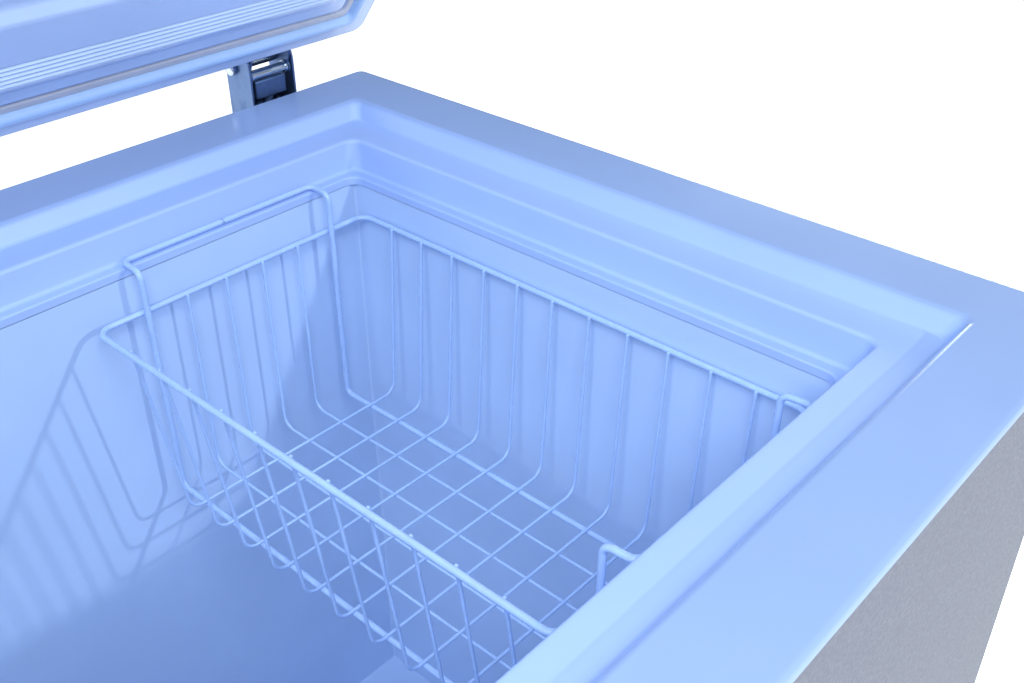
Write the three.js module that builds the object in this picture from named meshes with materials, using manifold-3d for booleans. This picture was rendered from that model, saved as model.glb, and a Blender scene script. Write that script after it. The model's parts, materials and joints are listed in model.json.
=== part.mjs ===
// Chest freezer, millimetres, +Z up. X runs left to right seen from the front, Y runs front to rear.
// Pieces are modelled in the cabinet's own frame: x = 0 in the middle, y = 0 at the front edge of
// the top frame, z = 0 on the floor. The lid group is built shut and then swung open about its hinges.
import * as THREE from "three";
import { mergeVertices } from "three/addons/utils/BufferGeometryUtils.js";
import Module from "manifold-3d";

const wasm = await Module();
wasm.setup();

// ---------- driving dimensions ----------
const WIDTH = 800; // overall, left to right
const DEPTH = 530; // overall, front edge to rear edge of the top frame
const RIM = 795; // top of the frame above the floor
const FIT = 0.3; // gap between pieces that touch
const SHEET = 0.8; // painted steel sheet
const WRAP_INSET = 1; // wrap behind the outer edge of the top frame
const SKIRT = 5; // height of the frame's outer edge
const BASE_Z = 24; // underside of the base pan
const WALL = 86; // outer edge to inner face of the liner
const LINER_T = 1.2;
const THROAT = 37.1; // top of the frame down to its lower lip
const LEDGE_DROP = 31.5; // top of the frame down to the ledge that the basket hangs on
const LEDGE_BAR = 3.4; // the basket's bar on the ledge, outside the inner face of the liner
const TUB_DEPTH = 690; // top of the frame down to the tub floor
const STEP_DEPTH = 500; // top of the frame down to the compressor step
const STEP_LENGTH = 175; // step, from the right wall of the tub
const STEP_FOAM = 43; // insulation over and beside the compressor bay
const COIL_GAP_OUT = 7; // room for the condenser between wrap and foam
const COIL_GAP_IN = 9; // room for the evaporator between foam and liner
const LID_GAP = 8; // lid flange above the frame when shut
const LID_T = 48;
const LID_OPEN = 53.2; // degrees, the angle the balanced lid rests at
const HINGE_INSET = 79; // hinge centre from the end of the cabinet
const HINGE_W = 38; // hinge channel, outside
const HINGE_T = 1.5;
const PIVOT_Y = 20.7; // pivot behind the rear edge
const PIVOT_Z = 21.35; // pivot above the top of the frame
const PIN_R = 3.4;
const PIN_CLEAR = 0.2;
const FOLLOWER_R = 3.5;
const BASKET_GAP_X = 3.4; // rim wire to the tub's right wall
const BASKET_GAP_Y = 10; // rim wire to the tub's front and rear walls
const BASKET_HALF_X = 99.8;
const BASKET_RIM_DROP = 57; // rim wire below the top of the frame
const BASKET_FLOOR_DROP = 182;
const BASKET_LEAN_RIGHT = 8; // how far the right side leans in, rim to floor
const BASKET_LEAN_LEFT = 17; // the left side leans in further, which lets the hand behind it
const THICK_WIRE = 2; // radius
const THIN_WIRE = 1.1; // radius
const WELD = 0.2; // how far crossing wires sink into each other
const WIRE_PITCH = 27.6;
const WIRE_END_GAP = 25; // least distance from the last cross wire to the rim's end
const FOOT_INSET = 60;
const DRAIN_BORE = 6.5;

const rearY = DEPTH - WRAP_INSET; // outer face of the rear panel
const tubX = WIDTH / 2 - WALL;
const floorZ = RIM - TUB_DEPTH;
const stepZ = RIM - STEP_DEPTH;
const stepX = tubX - STEP_LENGTH;
const linerTop = RIM - THROAT - 0.4;
const bayX = stepX + LINER_T + STEP_FOAM; // left wall of the compressor bay
const bayTop = stepZ - LINER_T - STEP_FOAM;

// ---------- solids from geometry ----------
const position = (geometry) => {
  const bare = geometry.clone();
  bare.deleteAttribute("normal");
  bare.deleteAttribute("uv");
  return mergeVertices(bare, 1e-4);
};

function solid(geometry) {
  const bare = position(geometry);
  return new wasm.Manifold(
    new wasm.Mesh({
      numProp: 3,
      vertProperties: new Float32Array(bare.attributes.position.array),
      triVerts: new Uint32Array(bare.index.array),
    }),
  );
}

function geometryOf(made) {
  const mesh = made.getMesh();
  const geometry = new THREE.BufferGeometry();
  geometry.setAttribute("position", new THREE.BufferAttribute(mesh.vertProperties, 3));
  geometry.setIndex(new THREE.BufferAttribute(mesh.triVerts, 1));
  const flat = geometry.toNonIndexed();
  flat.computeVertexNormals();
  return flat;
}

const join = (...pieces) => geometryOf(pieces.map(solid).reduce((a, b) => a.add(b)));

const cut = (piece, ...tools) =>
  geometryOf(tools.map(solid).reduce((left, tool) => left.subtract(tool), solid(piece)));

// A box from its low and high corners.
function box(x0, x1, y0, y1, z0, z1) {
  const geometry = new THREE.BoxGeometry(x1 - x0, y1 - y0, z1 - z0);
  return geometry.translate((x0 + x1) / 2, (y0 + y1) / 2, (z0 + z1) / 2);
}

// A round bar along one axis, from one end to the other. `at` gives the other two coordinates.
function bar(axis, from, to, at, radius, sides = 12) {
  const geometry = new THREE.CylinderGeometry(radius, radius, to - from, sides);
  geometry.translate(0, (from + to) / 2, 0);
  if (axis === "x") return geometry.rotateZ(-Math.PI / 2).translate(0, at[0], at[1]);
  if (axis === "y") return geometry.translate(at[0], 0, at[1]);
  return geometry.rotateX(Math.PI / 2).translate(at[0], at[1], 0);
}

// A turned piece: profile of [radius, height] pairs from axis to axis, turned about Z or Y.
function turned(profile, x, y, z, axis = "z", sides = 14) {
  const points = profile.map(([r, h]) => new THREE.Vector2(r, h));
  const geometry = new THREE.LatheGeometry(points, sides);
  if (axis === "z") geometry.rotateX(Math.PI / 2);
  return geometry.translate(x, y, z);
}

// A closed surface through rings of equal size: capped at both ends, or closed on itself.
function loft(rings, closed) {
  const count = rings[0].length;
  const points = rings.flat();
  const faces = [];
  const spans = closed ? rings.length : rings.length - 1;
  for (let i = 0; i < spans; i++) {
    const here = i * count;
    const next = ((i + 1) % rings.length) * count;
    for (let j = 0; j < count; j++) {
      const k = (j + 1) % count;
      faces.push(here + j, here + k, next + k, here + j, next + k, next + j);
    }
  }
  const last = (rings.length - 1) * count;
  for (let j = 1; j < count - 1 && !closed; j++) {
    faces.push(0, j + 1, j, last, last + j, last + j + 1);
  }
  let volume = 0;
  for (let i = 0; i < faces.length; i += 3) {
    const [a, b, c] = [points[faces[i]], points[faces[i + 1]], points[faces[i + 2]]];
    volume += a.dot(b.clone().cross(c));
  }
  if (volume < 0) faces.reverse();
  const geometry = new THREE.BufferGeometry().setFromPoints(points);
  geometry.setIndex(faces);
  const flat = geometry.toNonIndexed();
  flat.computeVertexNormals();
  return flat;
}

// The outline of the cabinet's plan at a distance `inset` inside its outer edge.
function planRing(inset, z, radius, steps = 2) {
  const halfX = WIDTH / 2 - inset - radius;
  const halfY = DEPTH / 2 - inset - radius;
  const corners = [[1, 1], [-1, 1], [-1, -1], [1, -1]];
  const ring = [];
  corners.forEach(([sx, sy], quarter) => {
    for (let i = 0; i <= steps; i++) {
      const angle = (Math.PI / 2) * (quarter + i / steps);
      const x = sx * halfX + radius * Math.cos(angle);
      const y = DEPTH / 2 + sy * halfY + radius * Math.sin(angle);
      ring.push(new THREE.Vector3(x, y, z));
    }
  });
  return ring;
}

// Wire or pipe: rings round a path of points, with frames carried along so that it doesn't twist.
// The flats stand at the true radius, so wires that are welded do meet.
function wire(path, radius, sides, closed = false) {
  const count = path.length;
  const reach = radius / Math.cos(Math.PI / sides);
  const direction = (i) => {
    const before = path[closed ? (i + count - 1) % count : Math.max(i - 1, 0)];
    const after = path[closed ? (i + 1) % count : Math.min(i + 1, count - 1)];
    return after.clone().sub(before).normalize();
  };
  let along = direction(0);
  let side = new THREE.Vector3(1, 0, 0);
  if (Math.abs(along.x) > 0.9) side.set(0, 0, 1);
  side.addScaledVector(along, -side.dot(along)).normalize();
  const rings = path.map((point, i) => {
    const next = direction(i);
    side.applyQuaternion(new THREE.Quaternion().setFromUnitVectors(along, next));
    along = next;
    const up = along.clone().cross(side);
    return Array.from({ length: sides }, (_, j) => {
      const angle = (2 * Math.PI * (j + 0.5)) / sides;
      const ring = point.clone().addScaledVector(side, reach * Math.cos(angle));
      return ring.addScaledVector(up, reach * Math.sin(angle));
    });
  });
  return loft(rings, closed);
}

// A path through corner points, with each corner rounded.
function bend(corners, radius, steps = 3, closed = false) {
  const path = [];
  const count = corners.length;
  corners.forEach((corner, i) => {
    if (!closed && (i === 0 || i === count - 1)) return void path.push(corner.clone());
    const back = corners[(i + count - 1) % count].clone().sub(corner).normalize();
    const on = corners[(i + 1) % count].clone().sub(corner).normalize();
    const half = back.angleTo(on) / 2;
    const centre = back.clone().add(on).normalize().multiplyScalar(radius / Math.sin(half)).add(corner);
    const start = corner.clone().addScaledVector(back, radius / Math.tan(half)).sub(centre);
    const end = corner.clone().addScaledVector(on, radius / Math.tan(half)).sub(centre);
    const [first, last] = [start.clone().normalize(), end.clone().normalize()];
    const turn = new THREE.Quaternion().setFromUnitVectors(first, last);
    for (let j = 0; j <= steps; j++) {
      const part = new THREE.Quaternion().slerp(turn, j / steps);
      path.push(start.clone().applyQuaternion(part).add(centre));
    }
  });
  return path;
}

const point = (x, y, z) => new THREE.Vector3(x, y, z);

// A flat plate: a shape drawn in Y and Z, as thick as x1 - x0.
function sidePlate(shape, x0, x1, curveSegments = 6) {
  const geometry = new THREE.ExtrudeGeometry(shape, { depth: x1 - x0, bevelEnabled: false, curveSegments });
  geometry.rotateX(Math.PI / 2).rotateZ(Math.PI / 2);
  return geometry.translate(x0, 0, 0);
}

// ---------- finishes ----------
const finish = (color, roughness, metalness = 0) =>
  new THREE.MeshStandardMaterial({ color, roughness, metalness });
const glossWhite = finish("#e8eef6", 0.22);
const paintedSteel = finish("#c9ccd4", 0.5);
const linerWhite = finish("#e3e9f2", 0.35);
const coatedWire = finish("#f0f4fa", 0.3);
const zinc = finish("#b9bec6", 0.35, 0.9);
const blackEnamel = finish("#17181a", 0.4);
const copper = finish("#b66a3c", 0.35, 1);
const foamYellow = finish("#e2d49a", 0.9);
const rubber = finish("#2a2b2d", 0.8);
const gasketGrey = finish("#dfe3ea", 0.55);
const darkPlastic = finish("#3a3d42", 0.5);
const lampFinish = (color) => finish(color, 0.15);

const cabinet = new THREE.Group();
const lid = new THREE.Group();

function add(group, name, geometry, material) {
  const mesh = new THREE.Mesh(geometry, material);
  mesh.name = name;
  group.add(mesh);
}

// ---------- cabinet ----------
// Top frame: closed section of [inset, drop, corner radius], rim to basket ledge and back underneath.
function topFrame() {
  const section = [
    [0, -SKIRT, 5], [0, -3, 5], [0.9, -0.9, 4.5], [3, 0, 4],
    [44.8, 0, 7], [50.7, -11.7, 5], [WALL - 13.6, -11.5, 8], [WALL - 11.4, -12, 8],
    [WALL - 10.1, -13.8, 8], [WALL - 7.9, 2.5 - LEDGE_DROP, 9], [WALL - 7.1, 0.7 - LEDGE_DROP, 9],
    [WALL - 5.6, -LEDGE_DROP, 8], [WALL - 0.4, -LEDGE_DROP, 6], [WALL + 0.4, -0.9 - LEDGE_DROP, 6],
    [WALL + 0.2, -THROAT, 6], [WALL - 2, -THROAT, 6], [WALL - 2, -2.5 - LEDGE_DROP, 7],
    [WALL - 6, -2.5 - LEDGE_DROP, 9], [WALL - 10.2, 0.5 - LEDGE_DROP, 9],
    [WALL - 13, -14.4, 8], [49, -14.4, 5], [43, -2.5, 7], [3.5, -2.5, 4], [2.5, -SKIRT, 4],
  ];
  return loft(section.map(([inset, drop, radius]) => planRing(inset, RIM + drop, radius)), true);
}

// Painted sheet round the front and both ends, with short returns at the rear corners.
const wrapTop = RIM - SKIRT - FIT;
const rearReturn = 6;
const plate = { x0: WIDTH / 2 - 138, x1: WIDTH / 2 - 18, z0: 118, z1: 182 }; // controls, on the front
const grille = { y0: 80, y1: DEPTH - 90, z0: 60, z1: 210 }; // compressor grille, on the right end
const drain = { x: 60 - tubX, y: WALL + 60, z: 64 }; // axis of the outlet, and of the pipe from the floor
const gland = { x: WIDTH / 2 - 60, z: 70 };
const hingeX = WIDTH / 2 - HINGE_INSET;
const screwX = HINGE_W / 2 + 7; // hinge screws from the hinge centre
const screwZ = RIM - 60;

function cabinetWrap() {
  const ring = (inset, low, high, radius) =>
    loft([planRing(inset, low, radius), planRing(inset, high, radius)], false);
  const outer = ring(WRAP_INSET, BASE_Z, wrapTop, 4);
  const inner = ring(WRAP_INSET + SHEET, BASE_Z - 5, wrapTop + 5, 3.2);
  const rear = box(
    -WIDTH / 2 + rearReturn, WIDTH / 2 - rearReturn, rearY - 2 * SHEET, rearY + 5, 0, RIM,
  );
  const end = WIDTH / 2;
  return cut(
    outer,
    inner,
    rear,
    box(plate.x0 - FIT, plate.x1 + FIT, -5, 10, plate.z0 - FIT, plate.z1 + FIT),
    box(end - 10, end + 5, grille.y0 - FIT, grille.y1 + FIT, grille.z0 - FIT, grille.z1 + FIT),
    bar("y", -5, 10, [drain.x, drain.z], 9.5),
  );
}

function rearPanel() {
  const half = WIDTH / 2 - rearReturn - FIT;
  const screws = [-1, 1].flatMap((hinge) =>
    [-1, 1].map((ear) =>
      bar("y", rearY - 5, rearY + 5, [hinge * hingeX + ear * screwX, screwZ], 2.3, 10),
    ),
  );
  return cut(
    box(-half, half, rearY - SHEET, rearY, BASE_Z, wrapTop),
    bar("y", rearY - 5, rearY + 5, [gland.x, gland.z], 9.3),
    ...screws,
  );
}

const panT = 1.2;
const panInset = WRAP_INSET + SHEET + FIT;
const feet = [-1, 1].flatMap((sx) =>
  [0, 1].map((rear) => ({
    name: (rear ? "rear" : "front") + (sx < 0 ? "_left" : "_right"),
    x: sx * (WIDTH / 2 - FOOT_INSET),
    y: rear ? DEPTH - FOOT_INSET : FOOT_INSET,
  })),
);
const studR = 4;

function basePan() {
  const lip = 14;
  const tray = (inset, low, high, radius) =>
    loft([planRing(inset, low, radius), planRing(inset, high, radius)], false);
  return cut(
    tray(panInset, BASE_Z, BASE_Z + lip, 4),
    tray(panInset + panT, BASE_Z + panT, BASE_Z + 99, 3),
    ...feet.map((foot) => bar("z", 0, 99, [foot.x, foot.y], studR + FIT)),
  );
}

function levellingFoot(foot) {
  const glide = [[0, 0], [20, 0], [22, 2], [22, 7], [16, 11], [studR, 11], [studR, 46], [0, 46]];
  return turned(glide, foot.x, foot.y, 0);
}

// The tub, with the step over the compressor bay at its right end.
function innerLiner() {
  const tub = (inset, floor, top, radius) =>
    loft([planRing(inset, floor, radius), planRing(inset, top, radius)], false);
  const outside = cut(
    tub(WALL - LINER_T, floorZ - LINER_T, linerTop, 5),
    box(stepX + LINER_T, WIDTH, 0, DEPTH, 0, stepZ - LINER_T),
  );
  const inside = cut(tub(WALL, floorZ, RIM, 4), box(stepX, WIDTH, 0, DEPTH, 0, stepZ));
  return cut(outside, inside, bar("z", 0, RIM, [drain.x, drain.y], DRAIN_BORE + 1));
}

function foamFill() {
  const out = WRAP_INSET + SHEET + COIL_GAP_OUT;
  const gap = WALL - LINER_T - COIL_GAP_IN;
  const x = WIDTH / 2 - gap;
  const low = BASE_Z + panT + FIT;
  const room = cut(
    box(-x, x, gap, DEPTH - gap, floorZ - LINER_T - FIT, RIM),
    box(stepX + LINER_T + FIT, WIDTH, 0, DEPTH, 0, stepZ - LINER_T - FIT),
  );
  return cut(
    box(-WIDTH / 2 + out, WIDTH / 2 - out, out, DEPTH - out, low, linerTop - FIT),
    room,
    box(bayX, WIDTH, -5, DEPTH + 5, 0, bayTop),
    bar("y", -5, drain.y, [drain.x, drain.z], pipeR + FIT),
    bar("z", drain.z - pipeR - FIT, 200, [drain.x, drain.y], pipeR + FIT),
    ...feet.map((foot) => bar("z", 0, 50, [foot.x, foot.y], studR + 3)),
  );
}

// Evaporator: rectangular turns round the tub above the step, in the gap behind the liner.
function evaporatorCoil() {
  const tubeR = 3.2;
  const inset = WALL - LINER_T - COIL_GAP_IN / 2;
  const [x, y0, y1] = [WIDTH / 2 - inset, inset, DEPTH - inset];
  const turns = 5;
  const rise = (linerTop - stepZ - 90) / (turns * 4);
  const corners = [];
  for (let i = 0; i <= turns * 4; i++) {
    const z = stepZ + 40 + i * rise;
    const [sx, y] = [[1, y0], [1, y1], [-1, y1], [-1, y0]][i % 4];
    corners.push(point(sx * x, y, z));
  }
  return wire(bend(corners, 9, 2), tubeR, 5);
}

// Condenser: upright runs behind the rear panel's inner face.
function condenserCoil() {
  const tubeR = 2.6;
  const y = rearY - SHEET - COIL_GAP_OUT / 2;
  const runs = 8;
  const spread = 480;
  const corners = [];
  for (let i = 0; i < runs; i++) {
    const x = -spread / 2 + (i * spread) / (runs - 1);
    const ends = i % 2 ? [RIM - 90, 300] : [300, RIM - 90];
    corners.push(point(x, y, ends[0]), point(x, y, ends[1]));
  }
  return wire(bend(corners, 20, 3), tubeR, 5);
}

// ---------- compressor bay ----------
const pot = { x: WIDTH / 2 - 108, y: DEPTH - 200, z: 52, radius: 68, height: 170 };
const railT = 2.5;
const railHalf = { x: 84, y: 78 };

function compressor() {
  const { radius, height } = pot;
  const profile = [
    [0, 0], [radius - 22, 0], [radius - 6, 10], [radius, 26], [radius, 96], [radius + 3, 98],
    [radius + 3, 104], [radius, 106], [radius - 4, height - 34], [radius - 20, height - 10],
    [radius - 42, height], [0, height],
  ];
  return turned(profile, pot.x, pot.y, pot.z, "z", 20);
}

const compressorRail = () =>
  box(
    pot.x - railHalf.x, pot.x + railHalf.x, pot.y - railHalf.y, pot.y + railHalf.y,
    pot.z - FIT - railT, pot.z - FIT,
  );

function compressorMount(sx, sy) {
  const low = BASE_Z + panT + FIT;
  const high = pot.z - 2 * FIT - railT - low;
  const profile = [[0, 0], [11, 0], [11, 5], [7, 8], [7, high - 8], [10, high - 4], [10, high], [0, high]];
  const inset = 14;
  return turned(profile, pot.x + sx * (railHalf.x - inset), pot.y + sy * (railHalf.y - inset), low, "z", 10);
}

function relayBox() {
  const y = pot.y - pot.radius - FIT;
  const body = box(pot.x - 28, pot.x + 22, y - 34, y, 84, 132);
  return join(body, box(pot.x - 18, pot.x + 12, y - 40, y - 33, 92, 124));
}

const pipeTop = pot.z + 120;
const dischargePipe = () =>
  wire(
    bend(
      [
        point(pot.x - pot.radius - 4, pot.y + 10, pipeTop), point(pot.x - 90, pot.y + 10, pipeTop),
        point(pot.x - 90, pot.y + 10, 80), point(pot.x - 90, pot.y + 120, 80),
        point(pot.x - 90, pot.y + 120, 200), point(pot.x - 90, pot.y + 180, 200),
      ],
      12,
    ),
    2.5, 6,
  );
const suctionPipe = () =>
  wire(
    bend(
      [
        point(pot.x + 10, pot.y + pot.radius + 4, pipeTop), point(pot.x + 10, pot.y + 110, pipeTop),
        point(pot.x + 10, pot.y + 110, bayTop - 12), point(pot.x - 60, pot.y + 110, bayTop - 12),
      ],
      14,
    ),
    4, 6,
  );
function filterDrier() {
  const profile = [[0, 0], [3, 0], [4, 14], [9.5, 22], [9.5, 88], [4, 98], [3, 110], [0, 110]];
  return turned(profile, pot.x - 66, pot.y - 120, 100, "z", 10);
}

function compressorGrille() {
  const x = WIDTH / 2 - WRAP_INSET;
  const slots = [];
  const rows = 9;
  const middle = (grille.y0 + grille.y1) / 2;
  for (let i = 0; i < rows; i++) {
    const z = grille.z0 + 12 + (i * (grille.z1 - grille.z0 - 24)) / (rows - 1);
    slots.push(box(x - 9, x + 5, grille.y0 + 12, middle - 5, z - 3, z + 3));
    slots.push(box(x - 9, x + 5, middle + 5, grille.y1 - 12, z - 3, z + 3));
  }
  return cut(box(x - 3, x, grille.y0, grille.y1, grille.z0, grille.z1), ...slots);
}

// ---------- controls ----------
const knob = { x: plate.x1 - 32, z: (plate.z0 + plate.z1) / 2, radius: 18 };
const shaftR = 3;
const plateT = 3;
const lampX = [16, 32, 48].map((step) => plate.x0 + step);
const lampR = 4;

function controlPlate() {
  const holes = lampX.map((x) => bar("y", -5, 10, [x, knob.z], lampR + FIT));
  return cut(
    box(plate.x0, plate.x1, 0.2, 0.2 + plateT, plate.z0, plate.z1),
    bar("y", -5, 10, [knob.x, knob.z], shaftR + FIT),
    ...holes,
  );
}

function thermostatKnob() {
  const profile = [
    [0, -15], [12, -15], [14, -14], [15, -5], [knob.radius, -4], [knob.radius, -0.5],
    [shaftR, -0.5], [shaftR, 22], [0, 22],
  ];
  const body = turned(profile, knob.x, 0, knob.z, "y", 18);
  return join(body, box(knob.x - 2, knob.x + 2, -18, -14, knob.z - 13, knob.z + 13));
}

function thermostatBody() {
  const y = 0.2 + plateT + FIT;
  return cut(
    box(knob.x - 22, knob.x + 22, y, y + 32, knob.z - 22, knob.z + 22),
    bar("y", -5, 24, [knob.x, knob.z], shaftR + FIT),
  );
}

function indicatorLamp(x) {
  const profile = [[0, -2.4], [2.4, -2], [3.6, -0.6], [lampR, 0.6], [lampR, 9], [0, 9]];
  return turned(profile, x, 0, knob.z, "y", 10);
}

// ---------- drain and mains inlet ----------
const pipeR = 9;
const pipeEnd = -12;
const capR = 13;

function drainPipe() {
  const top = floorZ - LINER_T - FIT;
  const outside = join(
    bar("y", pipeEnd, drain.y, [drain.x, drain.z], pipeR),
    bar("z", drain.z - pipeR, top, [drain.x, drain.y], pipeR),
  );
  return cut(
    outside,
    bar("y", pipeEnd - 5, drain.y, [drain.x, drain.z], DRAIN_BORE),
    bar("z", drain.z - DRAIN_BORE, top + 5, [drain.x, drain.y], DRAIN_BORE),
  );
}

function drainCap() {
  const inside = pipeR + FIT;
  const profile = [
    [0, pipeEnd - 5], [capR - 2, pipeEnd - 5], [capR, pipeEnd - 3], [capR, 0.4], [inside, 0.4],
    [inside, pipeEnd - 1], [0, pipeEnd - 1],
  ];
  const body = turned(profile, drain.x, 0, drain.z, "y", 16);
  return join(body, box(drain.x - 1.5, drain.x + 1.5, pipeEnd - 9, pipeEnd - 4.5, drain.z - 9, drain.z + 9));
}

function drainPlug() {
  const stem = DRAIN_BORE - FIT;
  const low = -14;
  const profile = [
    [0, low], [stem - 1, low], [stem, low + 2], [stem, 0.3], [14, 0.3], [14, 2.2], [5, 3.4], [4, 6],
    [5, 8], [0, 8.6],
  ];
  return turned(profile, drain.x, drain.y, floorZ, "z", 16);
}

function cordGland() {
  const face = rearY + FIT;
  const profile = [
    [0, face - 14], [9, face - 14], [9, face], [12, face], [12, face + 3], [8, face + 5],
    [4.2, face + 5], [4.2, face - 8], [0, face - 8],
  ];
  return turned(profile, gland.x, 0, gland.z, "y", 16);
}

// ---------- hinges ----------
const pivotY = DEPTH + PIVOT_Y;
const pivotZ = RIM + PIVOT_Z;
const webY = DEPTH + 27.3; // inner face of the channel's rear web
const channelLow = RIM - 170;
const cheekR = 19.3; // the cheeks' round tops stay inside the lid's sweep
const armGap = 0.5; // arm inside the channel
const armHalf = HINGE_W / 2 - HINGE_T - armGap;
const open = THREE.MathUtils.degToRad(LID_OPEN);

// The follower rides in the arm. At rest it stands here, measured from the pivot.
const followerRest = { y: -12.7, z: -4.85 };
const followerShut = {
  y: followerRest.y * Math.cos(open) - followerRest.z * Math.sin(open),
  z: followerRest.y * Math.sin(open) + followerRest.z * Math.cos(open),
};

function hingeBase(x) {
  const front = rearY + FIT;
  const cheek = new THREE.Shape();
  cheek.moveTo(front, channelLow);
  cheek.lineTo(webY + HINGE_T, channelLow);
  cheek.lineTo(webY + HINGE_T, pivotZ - 12);
  cheek.lineTo(pivotY + cheekR * Math.cos(-0.5), pivotZ + cheekR * Math.sin(-0.5));
  cheek.absarc(pivotY, pivotZ, cheekR, -0.5, Math.PI, false);
  cheek.lineTo(pivotY - cheekR, RIM - 8);
  cheek.lineTo(front, RIM - 8);
  const half = HINGE_W / 2;
  const ear = 16;
  const earZ = [screwZ - 12, screwZ + 12];
  const made = join(
    sidePlate(cheek, x - half, x - half + HINGE_T),
    sidePlate(cheek, x + half - HINGE_T, x + half),
    box(x - half, x + half, webY, webY + HINGE_T, channelLow, RIM + 10),
    box(x - half, x + half, front, webY + HINGE_T, channelLow, channelLow + HINGE_T),
    box(x - half - ear, x - half + HINGE_T, front, front + HINGE_T, earZ[0], earZ[1]),
    box(x + half - HINGE_T, x + half + ear, front, front + HINGE_T, earZ[0], earZ[1]),
  );
  return cut(
    made,
    bar("x", x - 40, x + 40, [pivotY, pivotZ], PIN_R + PIN_CLEAR),
    bar("y", front - 5, front + 5, [x - screwX, screwZ], 2.3, 10),
    bar("y", front - 5, front + 5, [x + screwX, screwZ], 2.3, 10),
  );
}

// A round-headed pin across the channel.
function hingePin(x) {
  const half = HINGE_W / 2;
  return join(
    bar("x", x - half - 3, x + half + 3, [pivotY, pivotZ], PIN_R),
    bar("x", x - half - 4.5, x - half - FIT, [pivotY, pivotZ], PIN_R + 2),
    bar("x", x + half + FIT, x + half + 4.5, [pivotY, pivotZ], PIN_R + 2),
  );
}

const plungerTop = pivotZ + followerRest.z - FOLLOWER_R - 0.4;
const plungerHalfX = armHalf - HINGE_T - 2.5;
const plungerHalfY = 5.9;
const plungerY = pivotY - PIN_R - FIT - plungerHalfY - 0.5;
const springLow = channelLow + HINGE_T + FIT;
const springHigh = plungerTop - 13 - FIT;
const springR = 7;
const springWire = 1.3;

// Block under the follower, with a stem that guides the spring.
function plunger(x) {
  return join(
    box(
      x - plungerHalfX, x + plungerHalfX, plungerY - plungerHalfY, plungerY + plungerHalfY,
      plungerTop - 13, plungerTop,
    ),
    bar("z", springLow + 30, plungerTop - 12, [x, plungerY], 4, 12),
  );
}

function hingeSpring(x) {
  const turns = 9;
  const steps = 7;
  const [low, high] = [springLow + springWire, springHigh - springWire];
  const path = [];
  for (let i = 0; i <= turns * steps; i++) {
    const angle = (2 * Math.PI * i) / steps;
    const z = low + ((high - low) * i) / (turns * steps);
    path.push(point(x + springR * Math.cos(angle), plungerY + springR * Math.sin(angle), z));
  }
  return wire(path, springWire, 5);
}

function hingeScrew(x) {
  const face = rearY + FIT + HINGE_T + FIT;
  const profile = [[0, face - 8], [2, face - 7], [2, face], [4.4, face], [3.8, face + 2.2], [0, face + 2.8]];
  return turned(profile, x, 0, screwZ, "y", 8);
}

// Arm on the lid, drawn with the lid shut: a web on the lid's rear face and two cheeks round the pins.
const armWeb = { y: DEPTH + FIT, low: RIM + LID_GAP + 3, high: RIM + LID_GAP + LID_T - 5 };
const bossR = 5.9;
const armScrewZ = armWeb.high - 8;

function hingeArm(x) {
  const cheek = new THREE.Shape();
  const [fy, fz] = [pivotY + followerShut.y, pivotZ + followerShut.z];
  cheek.moveTo(armWeb.y, armWeb.low);
  cheek.lineTo(fy - 5, fz - 1);
  cheek.absarc(fy, fz, 5.2, Math.PI + 0.3, 2 * Math.PI, false);
  cheek.absarc(pivotY, pivotZ, bossR, -0.3, Math.PI / 2, false);
  cheek.lineTo(armWeb.y + 8, armWeb.high);
  cheek.lineTo(armWeb.y, armWeb.high);
  const made = join(
    sidePlate(cheek, x - armHalf, x - armHalf + HINGE_T),
    sidePlate(cheek, x + armHalf - HINGE_T, x + armHalf),
    box(x - armHalf, x + armHalf, armWeb.y, armWeb.y + HINGE_T, armWeb.low, armWeb.high),
  );
  return cut(
    made,
    bar("x", x - 40, x + 40, [pivotY, pivotZ], PIN_R + PIN_CLEAR),
    bar("x", x - 40, x + 40, [fy, fz], FOLLOWER_R - 1 + FIT),
    bar("y", armWeb.y - 5, armWeb.y + 5, [x, armScrewZ], 2.3, 10),
  );
}

// Follower: a roller between the arm's cheeks on a thinner axle.
function hingeFollower(x) {
  const at = [pivotY + followerShut.y, pivotZ + followerShut.z];
  const inside = armHalf - HINGE_T - FIT;
  return join(
    bar("x", x - inside, x + inside, at, FOLLOWER_R),
    bar("x", x - armHalf, x + armHalf, at, FOLLOWER_R - 1),
  );
}

function armScrew(x) {
  const face = armWeb.y + HINGE_T + FIT;
  const profile = [[0, face - 7], [2, face - 6], [2, face], [4.4, face], [3.8, face + 2.2], [0, face + 2.8]];
  return turned(profile, x, 0, armScrewZ, "y", 8);
}

// ---------- lid, drawn shut ----------
const lidLow = RIM + LID_GAP;
const lidHigh = lidLow + LID_T;
const lidRound = 9; // radius along the top edge
const lidCorner = 8; // radius of the corners in plan
const lidSkinT = 1;
const lidLinerT = 1.8;

// Steel skin: rounded top, open underneath.
function lidSkin() {
  const rings = [planRing(0, lidLow, lidCorner)];
  const steps = 4;
  for (let i = 0; i <= steps; i++) {
    const angle = (Math.PI / 2) * (i / steps);
    const inset = lidRound * (1 - Math.cos(angle));
    rings.push(planRing(inset, lidHigh - lidRound + lidRound * Math.sin(angle), lidCorner + inset));
  }
  const filled = loft(rings, false);
  const hollow = loft(
    [
      planRing(lidSkinT, lidLow - 5, lidCorner - lidSkinT),
      planRing(lidSkinT, lidHigh - lidRound, lidCorner - lidSkinT),
      planRing(lidRound, lidHigh - lidSkinT, lidCorner + lidRound - 2 * lidSkinT),
    ],
    false,
  );
  const screws = [-1, 1].map((side) =>
    bar("y", DEPTH - 10, DEPTH + 5, [side * hingeX, armScrewZ], 2.3, 10),
  );
  const handleHoles = handleScrews.map((x) => bar("y", -5, 10, [x, handleZ], 2.3, 10));
  return cut(filled, hollow, ...screws, ...handleHoles);
}

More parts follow.
